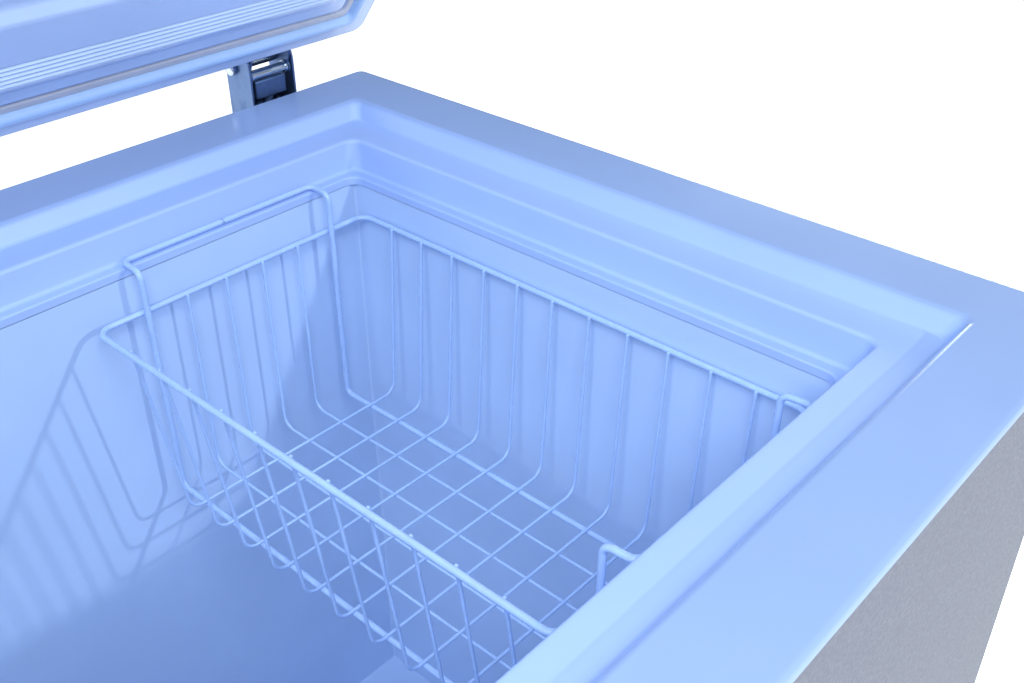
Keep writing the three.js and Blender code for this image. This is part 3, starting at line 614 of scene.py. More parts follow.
# ---------- shaping ----------
class Shape:
    """A bmesh being shaped, in the cabinet's millimetres."""

    def __init__(self) -> None:
        """Starts an empty shape."""
        self.bm = bmesh.new()

    def take(self, other: "Shape", matrix: Optional[Matrix] = None) -> "Shape":
        """Moves another shape's mesh into this one.

        Args:
            other: the shape, which is used up.
            matrix: where it goes.

        Returns:
            This shape.
        """
        if matrix is not None:
            bmesh.ops.transform(other.bm, matrix=matrix, verts=other.bm.verts)
        mesh = bpy.data.meshes.new("taken")
        other.bm.to_mesh(mesh)
        other.bm.free()
        self.bm.from_mesh(mesh)
        bpy.data.meshes.remove(mesh)
        return self

    def outward(self) -> "Shape":
        """Merges doubles and points the faces out.

        Returns:
            This shape.
        """
        bmesh.ops.remove_doubles(self.bm, verts=self.bm.verts, dist=0.002)
        bmesh.ops.recalc_face_normals(self.bm, faces=self.bm.faces)
        return self

    def box(self, low: Sequence[float], high: Sequence[float]) -> "Shape":
        """Adds a box.

        Args:
            low: lowest corner.
            high: highest corner.

        Returns:
            This shape.
        """
        size = Vector(high) - Vector(low)
        middle = (Vector(high) + Vector(low)) / 2
        matrix = Matrix.Translation(middle) @ Matrix.Diagonal((*size, 1))
        bmesh.ops.create_cube(self.bm, size=1, matrix=matrix)
        return self

    def rod(self, start: Sequence[float], end: Sequence[float], radius: float, sides: int = 28) -> "Shape":
        """Adds a round bar.

        Args:
            start: middle of one end.
            end: middle of the other.
            radius: its radius.
            sides: sides round it.

        Returns:
            This shape.
        """
        along = Vector(end) - Vector(start)
        turn = along.to_track_quat("Z", "Y").to_matrix().to_4x4()
        matrix = Matrix.Translation((Vector(start) + Vector(end)) / 2) @ turn
        sizes = {"radius1": radius, "radius2": radius, "depth": along.length}
        bmesh.ops.create_cone(self.bm, cap_ends=True, segments=sides, matrix=matrix, **sizes)
        return self

    def ball(self, middle: Sequence[float], radius: float) -> "Shape":
        """Adds a small ball.

        Args:
            middle: its centre.
            radius: its radius.

        Returns:
            This shape.
        """
        matrix = Matrix.Translation(Vector(middle))
        bmesh.ops.create_icosphere(self.bm, subdivisions=1, radius=radius, matrix=matrix)
        return self

    def turned(
        self, profile: Sequence[Pair], foot: Sequence[float], axis: Axis = Axis.Z, steps: int = 40,
    ) -> "Shape":
        """Adds a lathe-turned piece.

        Args:
            profile: (radius, height) points from axis to axis.
            foot: where height 0 stands.
            axis: the axis it is turned about.
            steps: faces round it.

        Returns:
            This shape.
        """
        made = Shape()
        points = [made.bm.verts.new((radius, 0, height)) for radius, height in profile]
        edges = [made.bm.edges.new(pair) for pair in zip(points, points[1:])]
        bmesh.ops.spin(
            made.bm, geom=points + edges, cent=(0, 0, 0), axis=(0, 0, 1), angle=2 * math.pi, steps=steps,
            use_merge=True, use_normal_flip=False, use_duplicate=False,
        )
        made.outward()
        turn = Vector(axis.value).to_track_quat("Z", "Y").to_matrix().to_4x4()
        return self.take(made, Matrix.Translation(Vector(foot)) @ turn)

    def plate(self, outline: Sequence[Pair], start: float, end: float, axis: Axis) -> "Shape":
        """Adds a flat plate.

        Args:
            outline: points on the two other axes, in X, Y, Z order.
            start: where the plate begins on the axis.
            end: where it ends.
            axis: the axis through its thickness.

        Returns:
            This shape.
        """
        made = Shape()
        at = {
            Axis.X: lambda a, b: (start, a, b),
            Axis.Y: lambda a, b: (a, start, b),
            Axis.Z: lambda a, b: (a, b, start),
        }[axis]
        face = made.bm.faces.new([made.bm.verts.new(at(a, b)) for a, b in outline])
        grown = bmesh.ops.extrude_face_region(made.bm, geom=[face], use_keep_orig=True)["geom"]
        corners = [item for item in grown if isinstance(item, bmesh.types.BMVert)]
        bmesh.ops.translate(made.bm, vec=Vector(axis.value) * (end - start), verts=corners)
        return self.take(made.outward())

    def ring(self, inset: float, height: float, radius: float, steps: int) -> list[bmesh.types.BMEdge]:
        """Adds a rounded rectangle of edges, at a distance inside the cabinet's plan.

        Args:
            inset: distance inside the outer edge.
            height: its Z.
            radius: corner radius.
            steps: edges round each corner.

        Returns:
            Its edges.
        """
        half_x, half_y = PLACE.width / 2 - inset, PLACE.depth / 2 - inset
        signs = ((1, 1), (-1, 1), (-1, -1), (1, -1))
        middle = PLACE.depth / 2
        corners = [self.bm.verts.new((sx * half_x, middle + sy * half_y, height)) for sx, sy in signs]
        before = set(self.bm.faces)
        self.bm.faces.new(corners)
        bmesh.ops.bevel(
            self.bm, geom=corners, offset=radius, offset_type="OFFSET", segments=steps, profile=0.5,
            affect="VERTICES", material=-1,
        )
        face = next(face for face in self.bm.faces if face not in before)
        edges = list(face.edges)
        bmesh.ops.delete(self.bm, geom=[face], context="FACES_ONLY")
        return edges

    def swept(self, section: Sequence[Corner], top: float, steps: int, closed: bool) -> "Shape":
        """Adds a strip of constant section round the cabinet's plan.

        Args:
            section: (inset, height from top, corner radius) points.
            top: the Z that heights are measured from.
            steps: edges round each corner.
            closed: joins the last point to the first, otherwise the two ends stay open.

        Returns:
            This shape.
        """
        made, storey = Shape(), 40.0
        rings = [
            made.ring(inset, row * storey, radius, steps)
            for row, (inset, _, radius) in enumerate(section)
        ]
        rows = [list({vert for edge in ring for vert in edge.verts}) for ring in rings]
        pairs = list(zip(rings, rings[1:])) + ([(rings[-1], rings[0])] if closed else [])
        for first, second in pairs:
            bmesh.ops.bridge_loops(made.bm, edges=first + second)
        for row, (verts, (_, height, _)) in enumerate(zip(rows, section)):
            bmesh.ops.translate(made.bm, vec=(0, 0, top + height - row * storey), verts=verts)
        return self.take(made)

    def wire(
        self, corners: Sequence[Vector], radius: float, bend: float, sides: int = 10, closed: bool = False,
    ) -> "Shape":
        """Adds a bent wire: a round section, pushed along each straight and spun round each bend.

        Args:
            corners: the points where its straights would meet.
            radius: the wire's radius.
            bend: radius of the bends, to the middle of the wire.
            sides: sides round it.
            closed: the wire meets itself halfway along its last straight.

        Returns:
            This shape.
        """
        made = Shape()
        stops = list(corners)
        if closed:
            middle = (stops[-1] + stops[0]) / 2
            stops = [middle, *stops, middle]
        ahead = (stops[1] - stops[0]).normalized()
        matrix = Matrix.Translation(stops[0]) @ ahead.to_track_quat("Z", "Y").to_matrix().to_4x4()
        start = bmesh.ops.create_circle(
            made.bm, cap_ends=not closed, segments=sides, radius=radius, matrix=matrix,
        )["verts"]
        edges = list({edge for vert in start for edge in vert.link_edges})
        here = stops[0]
        for before, corner, after in zip(stops, stops[1:], stops[2:] + [None]):
            along = (corner - before).normalized()
            turn = along.angle(after - corner) if after is not None else 0
            reach = bend * math.tan(turn / 2)
            end = corner - along * reach
            edges = made.push(edges, end - here)
            here = end
            if turn > 1e-4:
                onward = (after - corner).normalized()
                spin_axis = along.cross(onward).normalized()
                centre = end + spin_axis.cross(along).normalized() * bend
                steps = max(2, round(math.degrees(turn) / 15))
                made.bm.verts.index_update()
                spun = bmesh.ops.spin(
                    made.bm, geom=edges, cent=centre, axis=spin_axis, angle=turn, steps=steps,
                    use_merge=False, use_normal_flip=False, use_duplicate=False,
                )["geom_last"]
                edges = [item for item in spun if isinstance(item, bmesh.types.BMEdge)]
                here = corner + onward * reach
        if not closed:
            bmesh.ops.contextual_create(made.bm, geom=edges)
        return self.take(made.outward())

    def push(self, edges: list[bmesh.types.BMEdge], vector: Vector) -> list[bmesh.types.BMEdge]:
        """Extrudes a loop of edges.

        Args:
            edges: the loop.
            vector: how far.

        Returns:
            The loop at the far end.
        """
        grown = bmesh.ops.extrude_edge_only(self.bm, edges=edges)["geom"]
        verts = [item for item in grown if isinstance(item, bmesh.types.BMVert)]
        bmesh.ops.translate(self.bm, vec=vector, verts=verts)
        far = set(verts)
        lines = [item for item in grown if isinstance(item, bmesh.types.BMEdge)]
        return [edge for edge in lines if edge.verts[0] in far and edge.verts[1] in far]


def rounded(corners: Sequence[Corner], steps: int = 3) -> list[Pair]:
    """Rounds the corners of an outline.

    Args:
        corners: (across, up, cut) points; each corner is cut that far back along both sides.
        steps: edges in each rounding.

    Returns:
        The points of the rounded outline, in the same order.
    """
    bm = bmesh.new()
    verts = [bm.verts.new((across, up, 0)) for across, up, _ in corners]
    bm.faces.new(verts)
    for vert, (_, _, cut) in zip(verts, corners):
        if cut:
            bmesh.ops.bevel(
                bm, geom=[vert], offset=cut, offset_type="OFFSET", segments=steps, profile=0.5,
                affect="VERTICES", material=-1,
            )
    bm.faces.ensure_lookup_table()
    points = [(loop.vert.co.x, loop.vert.co.y) for loop in bm.faces[0].loops]
    bm.free()
    return points


@dataclass
class Piece:
    """How a shape becomes a finished object."""

    name: str
    body: str
    finish: Finishes
    stands_for: Sequence[str] = ()
    edge: float = 0.0
    edge_steps: int = 2
    wall: float = 0.0
    crease: float = 38.0

    def make(self, shape: Shape, swing: bool = False, cutters: Iterable[Shape] = ()) -> bpy.types.Object:
        """Finishes a shape.

        Args:
            shape: the shape, which is used up.
            swing: the shape was drawn with the lid shut, so it is carried to the open lid.
            cutters: shapes to cut out of it.

        Returns:
            The object.
        """
        matrix = PLACE.to_metres() @ (PLACE.lid_swing() if swing else Matrix.Identity(4))
        bmesh.ops.transform(shape.bm, matrix=matrix, verts=shape.bm.verts)
        for edge in shape.bm.edges:
            edge.smooth = len(edge.link_faces) < 2 or edge.calc_face_angle(0) < math.radians(self.crease)
        for face in shape.bm.faces:
            face.smooth = True
        thing = self._object(shape, self.name)
        if self.wall:
            solid = thing.modifiers.new("wall", "SOLIDIFY")
            solid.thickness = self.wall * MM
            solid.offset = -1
        for number, cutter in enumerate(cutters):
            bmesh.ops.transform(cutter.bm, matrix=matrix, verts=cutter.bm.verts)
            tool = self._object(cutter, f"cutter_{number}")
            hole = thing.modifiers.new("hole", "BOOLEAN")
            hole.object = tool
            hole.operation = "DIFFERENCE"
            hole.solver = "EXACT"
        self._settle(thing)
        if self.edge:
            bevel = thing.modifiers.new("edges", "BEVEL")
            bevel.width = self.edge * MM
            bevel.segments = self.edge_steps
            bevel.limit_method = "ANGLE"
            bevel.angle_limit = math.radians(self.crease)
            bevel.use_clamp_overlap = True
            self._settle(thing)
        thing.modifiers.new("normals", "WEIGHTED_NORMAL").keep_sharp = True
        thing.data.materials.append(self.finish.value.material())
        if self.body:
            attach(thing, self.body)
        if self.stands_for:
            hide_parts(*self.stands_for)
        log.info("%s: %d faces, on %s", self.name, len(thing.data.polygons), self.body)
        return thing

    @staticmethod
    def _object(shape: Shape, name: str) -> bpy.types.Object:
        """Makes an object of a shape.

        Args:
            shape: the shape, which is used up.
            name: the object's name.

        Returns:
            The object.
        """
        mesh = bpy.data.meshes.new(name)
        shape.bm.to_mesh(mesh)
        shape.bm.free()
        thing = bpy.data.objects.new(name, mesh)
        bpy.context.scene.collection.objects.link(thing)
        return thing

    @staticmethod
    def _settle(thing: bpy.types.Object) -> None:
        """Applies the object's modifiers and removes the cutters.

        Args:
            thing: the object.
        """
        tools = [m.object for m in thing.modifiers if m.type == "BOOLEAN"]
        if not thing.modifiers:
            return
        bpy.context.view_layer.update()
        evaluated = thing.evaluated_get(bpy.context.evaluated_depsgraph_get())
        thing.data = bpy.data.meshes.new_from_object(evaluated)
        thing.modifiers.clear()
        for tool in tools:
            bpy.data.objects.remove(tool)


def dress(finish: Finishes, *nodes: str) -> None:
    """Gives CAD nodes a finish.

    Args:
        finish: the finish.
        nodes: the nodes' names.
    """
    for name in nodes:
        node = frame["nodes"][name]
        node.data.materials.clear()
        node.data.materials.append(finish.value.material())


# ---------- cabinet ----------
@dataclass
class TopFrame:
    """The stepped plastic collar round the opening."""

    skirt: float = 5
    ledge_drop: float = 31.5
    throat: float = 37.1
    wall: float = 86
    corner_steps: int = 6

    def section(self) -> list[Corner]:
        """The collar's section.

        Returns:
            (inset, height from the rim, cut) corners, round the section.
        """
        wall, ledge = self.wall, self.ledge_drop
        return [
            (0, -self.skirt, 0.3), (0, 0, 3.4), (44.8, 0, 3.0), (50.7, -11.7, 1.6),
            (wall - 13.2, -11.5, 1.0), (wall - 10.9, -11.9, 1.8), (wall - 7.7, 0.5 - ledge, 1.6),
            (wall - 6, -ledge, 1.2), (wall, -ledge, 1.2), (wall + 0.3, -self.throat, 0.5),
            (wall - 2, -self.throat, 0), (wall - 2, -2.5 - ledge, 0), (wall - 6, -2.5 - ledge, 0),
            (wall - 10.2, 0.5 - ledge, 0), (wall - 13, -14.4, 0), (49, -14.4, 0), (43, -2.5, 0),
            (3.5, -2.5, 0), (2.5, -self.skirt, 0),
        ]

    def build(self) -> None:
        """Makes the collar."""
        def radius(inset: float) -> float:
            return 4.5 + 0.045 * inset

        points = rounded(self.section(), 4)
        section = [(inset, height, radius(inset)) for inset, height in points]
        shape = Shape().swept(section, PLACE.rim, self.corner_steps, True).outward()
        Piece("frame_collar", "cabinet", Finishes.FRAME, ["top_frame"]).make(shape)


@dataclass
class Tub:
    """The inner liner, with the step over the compressor bay."""

    corner: float = 1.6
    thickness: float = 1.1
    step_drop: float = 500
    step_length: float = 175
    drain_radius: float = 7.5
    seam: float = 0.7

    def build(self) -> None:
        """Makes the tub and the seam strip in its rear right corner."""
        low, high = PLACE.box("inner_liner")
        skin = 1.2
        x0, x1 = low.x + skin, high.x - skin
        y0, y1 = low.y + skin, high.y - skin
        floor = low.z + skin
        step_z, step_x = PLACE.rim - self.step_drop, x1 - self.step_length
        outline = [(x0, high.z), (x0, floor), (step_x, floor), (step_x, step_z), (x1, step_z), (x1, high.z)]
        shape = Shape().plate(outline, y0, y1, Axis.Y)
        bm = shape.bm
        top = [face for face in bm.faces if face.normal.z > 0.9 and face.calc_center_median().z > high.z - 1]
        bmesh.ops.delete(bm, geom=top, context="FACES")
        edges = [edge for edge in bm.edges if len(edge.link_faces) == 2]
        bmesh.ops.bevel(
            bm, geom=edges, offset=self.corner, offset_type="OFFSET", segments=3, profile=0.5,
            affect="EDGES", material=-1,
        )
        bmesh.ops.reverse_faces(bm, faces=bm.faces)
        drain_low, drain_high = PLACE.box("drain_plug")
        middle = (drain_low + drain_high) / 2
        through = 9
        hole = Shape().rod(
            (middle.x, middle.y, floor - through), (middle.x, middle.y, floor + through), self.drain_radius,
        )
        liner = Piece("tub", "cabinet", Finishes.LINER, ["inner_liner"], wall=self.thickness)
        liner.make(shape, cutters=[hole])
        bead = Shape()
        for x, foot in ((x1, step_z), (x0, floor)):
            bead.rod((x, y1, foot + 1), (x, y1, high.z - 1), self.seam, 10)
        Piece("tub_seams", "cabinet", Finishes.SEALANT, []).make(bead)


@dataclass
class Basket:
    """Welded basket of dipped wire, hung by two loops on the collar's ledge."""

    thick: float = 1.85
    thin: float = 1.02
    weld: float = 0.2
    pitch: float = 27.6
    rim_drop: float = 57
    floor_drop: float = 182
    wall_gap: float = 10
    wall: float = 86
    lean_right: float = 8
    lean_left: float = 17
    cross_each_side: int = 5
    bend: float = 9

    def build(self) -> None:
        """Makes the basket."""
        low, high = PLACE.box("wire_basket")
        self.cx, self.cy = (low.x + high.x) / 2, PLACE.depth / 2
        self.half_x = (high.x - low.x) / 2 - self.thick
        self.half_y = PLACE.depth / 2 - self.wall - self.wall_gap
        self.rim_z, self.cross_z = PLACE.rim - self.rim_drop, PLACE.rim - self.floor_drop
        shape = Shape()
        signs = ((1, 1), (-1, 1), (-1, -1), (1, -1))
        corners = [
            Vector((self.cx + sx * self.half_x, self.cy + sy * self.half_y, self.rim_z)) for sx, sy in signs
        ]
        shape.wire(corners, self.thick, self.bend, 14, closed=True)
        self._cross_wires(shape)
        self._long_wires(shape)
        for side in (1, -1):
            self._hook_loop(shape, side, high.z - self.thick)
        Piece("basket_wires", "basket", Finishes.WIRE, ["wire_basket"], crease=60).make(shape)

    def _cross_wires(self, shape: Shape) -> None:
        """Adds the wires that run left to right, with the coat pooled where they are welded.

        Args:
            shape: the basket so far.
        """
        reach = self.half_x - self.thick - self.thin + self.weld
        for number in range(-self.cross_each_side, self.cross_each_side + 1):
            y = self.cy + number * self.pitch
            top = self.rim_z + 0.2
            corners = [
                Vector((self.cx + reach, y, top)),
                Vector((self.cx + reach - self.lean_right, y, self.cross_z)),
                Vector((self.cx - reach + self.lean_left, y, self.cross_z)),
                Vector((self.cx - reach, y, top)),
            ]
            shape.wire(corners, self.thin, self.bend, 10)
            for side in (1, -1):
                shape.ball((self.cx + side * (reach + 0.2), y, self.rim_z), self.thin * 1.2)
            for number_x in (-2.5, -1.5, -0.5, 0.5, 1.5, 2.5):
                shape.ball((self.cx + number_x * self.pitch, y, self.cross_z - 0.9), self.thin * 1.1)

    def _long_wires(self, shape: Shape) -> None:
        """Adds the thin wires that run front to rear.

        Args:
            shape: the basket so far.
        """
        reach = self.half_y - self.thick - self.thin + self.weld
        level = self.cross_z - 2 * self.thin + self.weld
        for number in (-1.5, -0.5, 0.5, 1.5):
            x = self.cx + number * self.pitch
            top = self.rim_z + 0.2
            corners = [
                Vector((x, self.cy + reach, top)), Vector((x, self.cy + reach - 1, level)),
                Vector((x, self.cy - reach + 1, level)), Vector((x, self.cy - reach, top)),
            ]
            shape.wire(corners, self.thin, self.bend, 10)
            for side in (1, -1):
                shape.ball((x, self.cy + side * (reach + 0.2), self.rim_z), self.thin * 1.2)

    def _hook_loop(self, shape: Shape, side: int, level: float) -> None:
        """Adds half of the two hanging loops.

        Args:
            shape: the basket so far.
            side: 1 for the right half, -1 for the left.
            level: height of the bars on the ledge.
        """
        low, high = PLACE.box("wire_basket")
        ledge = (high.y - low.y) / 2 - self.thick
        x = self.cx + side * 2.5 * self.pitch
        arm_y = self.half_y - 2 * self.thick + self.weld
        arm_z = self.cross_z - self.thin - self.thick + self.weld

        def half(sy: int) -> list[Vector]:
            return [
                Vector((self.cx - side * 0.5, self.cy + sy * ledge, level)),
                Vector((x, self.cy + sy * ledge, level)), Vector((x, self.cy + sy * arm_y, level - 1)),
                Vector((x, self.cy + sy * (arm_y - 1), arm_z)),
            ]

        shape.wire([*half(1), *reversed(half(-1))], self.thick, 5.2, 14)


# ---------- lid ----------
@dataclass
class Lid:
    """Steel skin, moulded inner liner, magnetic gasket and handle, drawn shut."""

    gap: float = 8
    thickness: float = 48
    round_top: float = 9
    corner: float = 8
    rib_count: int = 5
    rib_height: float = 1.2

    def build(self) -> None:
        """Makes the lid's skin, liner and gasket."""
        self.low = PLACE.rim + self.gap
        self.high = self.low + self.thickness
        self._skin()
        self._liner()
        self._gasket()
        self._handle()

    def _skin(self) -> None:
        """Makes the painted skin, with its folded lower edge."""
        arc = 8
        section = [(0, 0.6, self.corner), (0, 4, self.corner)]
        for step in range(arc + 1):
            angle = math.pi / 2 * step / arc
            inset = self.round_top * (1 - math.cos(angle))
            height = self.thickness - self.round_top * (1 - math.sin(angle))
            section.append((inset, height, self.corner + inset))
        section.append((self.round_top + 40, self.thickness, self.corner + self.round_top + 4))
        section = [(1.2, 0.0, self.corner - 1)] + section
        shape = Shape().swept(section, self.low, 6, False)
        self._cap(shape, self.high)
        shape.outward()
        self._face(shape, Vector((0, 0, 1)))
        Piece("lid_shell", "lid", Finishes.LID_PAINT, ["lid_skin"], wall=0.9).make(shape, swing=True)

    @staticmethod
    def _cap(shape: Shape, height: float) -> None:
        """Closes the innermost ring of a lid sheet.

        Args:
            shape: the sheet.
            height: the ring's Z.
        """
        loose = [e for e in shape.bm.edges if e.is_boundary and abs(e.verts[0].co.z - height) < 0.01]
        bmesh.ops.contextual_create(shape.bm, geom=loose)

    @staticmethod
    def _face(shape: Shape, toward: Vector) -> None:
        """Points an open sheet's faces one way.

        Args:
            shape: the sheet.
            toward: the side that its largest face looks to.
        """
        largest = max(shape.bm.faces, key=lambda face: face.calc_area())
        if largest.normal.dot(toward) < 0:
            bmesh.ops.reverse_faces(shape.bm, faces=shape.bm.faces)

    def _liner(self) -> None:
        """Makes the moulded inside: flange, gasket groove, plug, ribbed band and recessed panel."""
        ribs = []
        start, end = (63.6, 12.4), (77.0, 9.0)
        for rib in range(self.rib_count):
            for share, lift in ((0.1, 0.0), (0.3, self.rib_height), (0.7, self.rib_height), (0.9, 0.0)):
                part = (rib + share) / self.rib_count
                inset = start[0] + (end[0] - start[0]) * part
                depth = start[1] + (end[1] - start[1]) * part
                ribs.append((inset, depth - lift, 0.25))
        corners = [
            (1.4, 0, 0.3), (16.8, 0, 0.5), (17.4, -2.6, 0.3), (34.8, -2.6, 0.3), (35.6, 0.6, 0.6),
            (37.2, 4.2, 1.0), (39.4, 5.2, 0.9), (51, 5.5, 1.2), (61, 11.8, 1.4), (63.6, 12.4, 0.6), *ribs,
            (78, 9, 0.8), (107, 9, 1.4), (109, 8.4, 0.8), (115, 4.4, 1.4), (118, 4, 0.8), (150, 4, 0),
        ]
        above = 1.6
        closing = [(150, above, 0), (1.4, above, 0)]
        outline = rounded([(inset, -depth, cut) for inset, depth, cut in corners] + closing, 3)
        last = max(index for index, point in enumerate(outline) if point[1] > above - 0.01 and point[0] < 2)
        outline = outline[last + 1:] + outline[:last]
        section = [(inset, height, self._radius(inset)) for inset, height in outline if height < above - 0.01]
        shape = Shape().swept(section, self.low, 5, False)
        self._cap(shape, self.low - 4)
        shape.outward()
        self._face(shape, Vector((0, 0, -1)))
        Piece("lid_moulding", "lid", Finishes.LID_INSIDE, ["lid_liner"], wall=1.2).make(shape, swing=True)

    @staticmethod
    def _radius(inset: float) -> float:
        """Corner radius of the lid's inside at an inset.

        Args:
            inset: distance inside the lid's edge.

        Returns:
            The radius.
        """
        if inset < 60:
            return 6 - 0.03 * inset
        return 4.2 + 0.07 * (inset - 60)

    def _gasket(self) -> None:
        """Makes the gasket: a soft bead with the magnet in it and a thin inner lip."""
        bead = rounded([
            (17.9, 2.2, 0), (18.3, -1, 0.5), (18.5, -5.6, 1.8), (22.2, -8.0, 2.2), (25.6, -6.4, 1.4),
            (26.7, -3.6, 0.8), (27.6, -2.0, 0.4), (30.6, -2.2, 0.4), (33.7, -1.7, 0.5), (34.2, 2.2, 0),
        ], 4)
        shape = Shape().swept([(i, h, self._radius(i)) for i, h in bead], self.low, 5, True).outward()
        Piece("gasket_bead", "lid", Finishes.GASKET, ["lid_gasket"]).make(shape, swing=True)
        lip = rounded([(28.0, -1.6, 0), (28.1, -3.6, 0.5), (33.0, -3.7, 0.5), (33.3, -1.6, 0)], 3)
        shape = Shape().swept([(i, h, self._radius(i)) for i, h in lip], self.low, 5, True).outward()
        Piece("gasket_lip", "lid", Finishes.GASKET_LIP).make(shape, swing=True)

    def _handle(self) -> None:
        """Makes the bridge handle on the front of the lid, and its screws."""
        half, out, z = 85, 33, self.low + 22
        outline = rounded([
            (-half, -0.3, 1), (-half + 5, -out, 14), (half - 5, -out, 14), (half, -0.3, 1),
            (half - 24, -0.3, 0.5),
            (half - 27, -out + 13, 5), (-half + 27, -out + 13, 5), (-half + 24, -0.3, 0.5),
        ], 6)
        shape = Shape().plate(outline, z - 10, z + 10, Axis.Z)
        holes = [Shape().rod((x, -60, z), (x, -7, z), 5) for x in (-half + 12, half - 12)]
        piece = Piece("handle_bridge", "lid", Finishes.TRIM, ["lid_handle"], edge=2.6, edge_steps=4)
        piece.make(shape, swing=True, cutters=holes)
        for side, x in (("left", -half + 12), ("right", half - 12)):
            Screw(f"handle_screw_{side}", "lid", (x, -7.3, z), -1, True).build()


@dataclass
class Screw:
    """A pan-head screw with a cross recess, along Y."""

    node: str
    body: str
    face: Sequence[float]
    out: int
    swing: bool = False
    head: float = 4.3
    shank: float = 7
    recess: float = 2.1
    blade: float = 0.85

    def build(self) -> None:
        """Makes the screw."""
        head, shank = self.head, self.shank
        profile = [
            (0, -shank), (1.9, 1 - shank), (1.9, 0), (head, 0), (head, 0.5), (head * 0.9, 1.5),
            (head * 0.62, 2.2),
            (head * 0.3, 2.45), (0, 2.5),
        ]
        turn = Matrix.Rotation(-self.out * math.pi / 2, 4, "X")
        place = Matrix.Translation(Vector(self.face)) @ turn
        shape = Shape().take(Shape().turned(profile, (0, 0, 0), Axis.Z, 28), place)
        cutters = []
        for long, wide in ((self.recess, self.blade / 2), (self.blade / 2, self.recess)):
            cutters.append(Shape().take(Shape().box((-long, -wide, 1.3), (long, wide, 4)), place))
        name = f"{self.node}_head"
        Piece(name, self.body, Finishes.PIN, [self.node]).make(shape, self.swing, cutters)


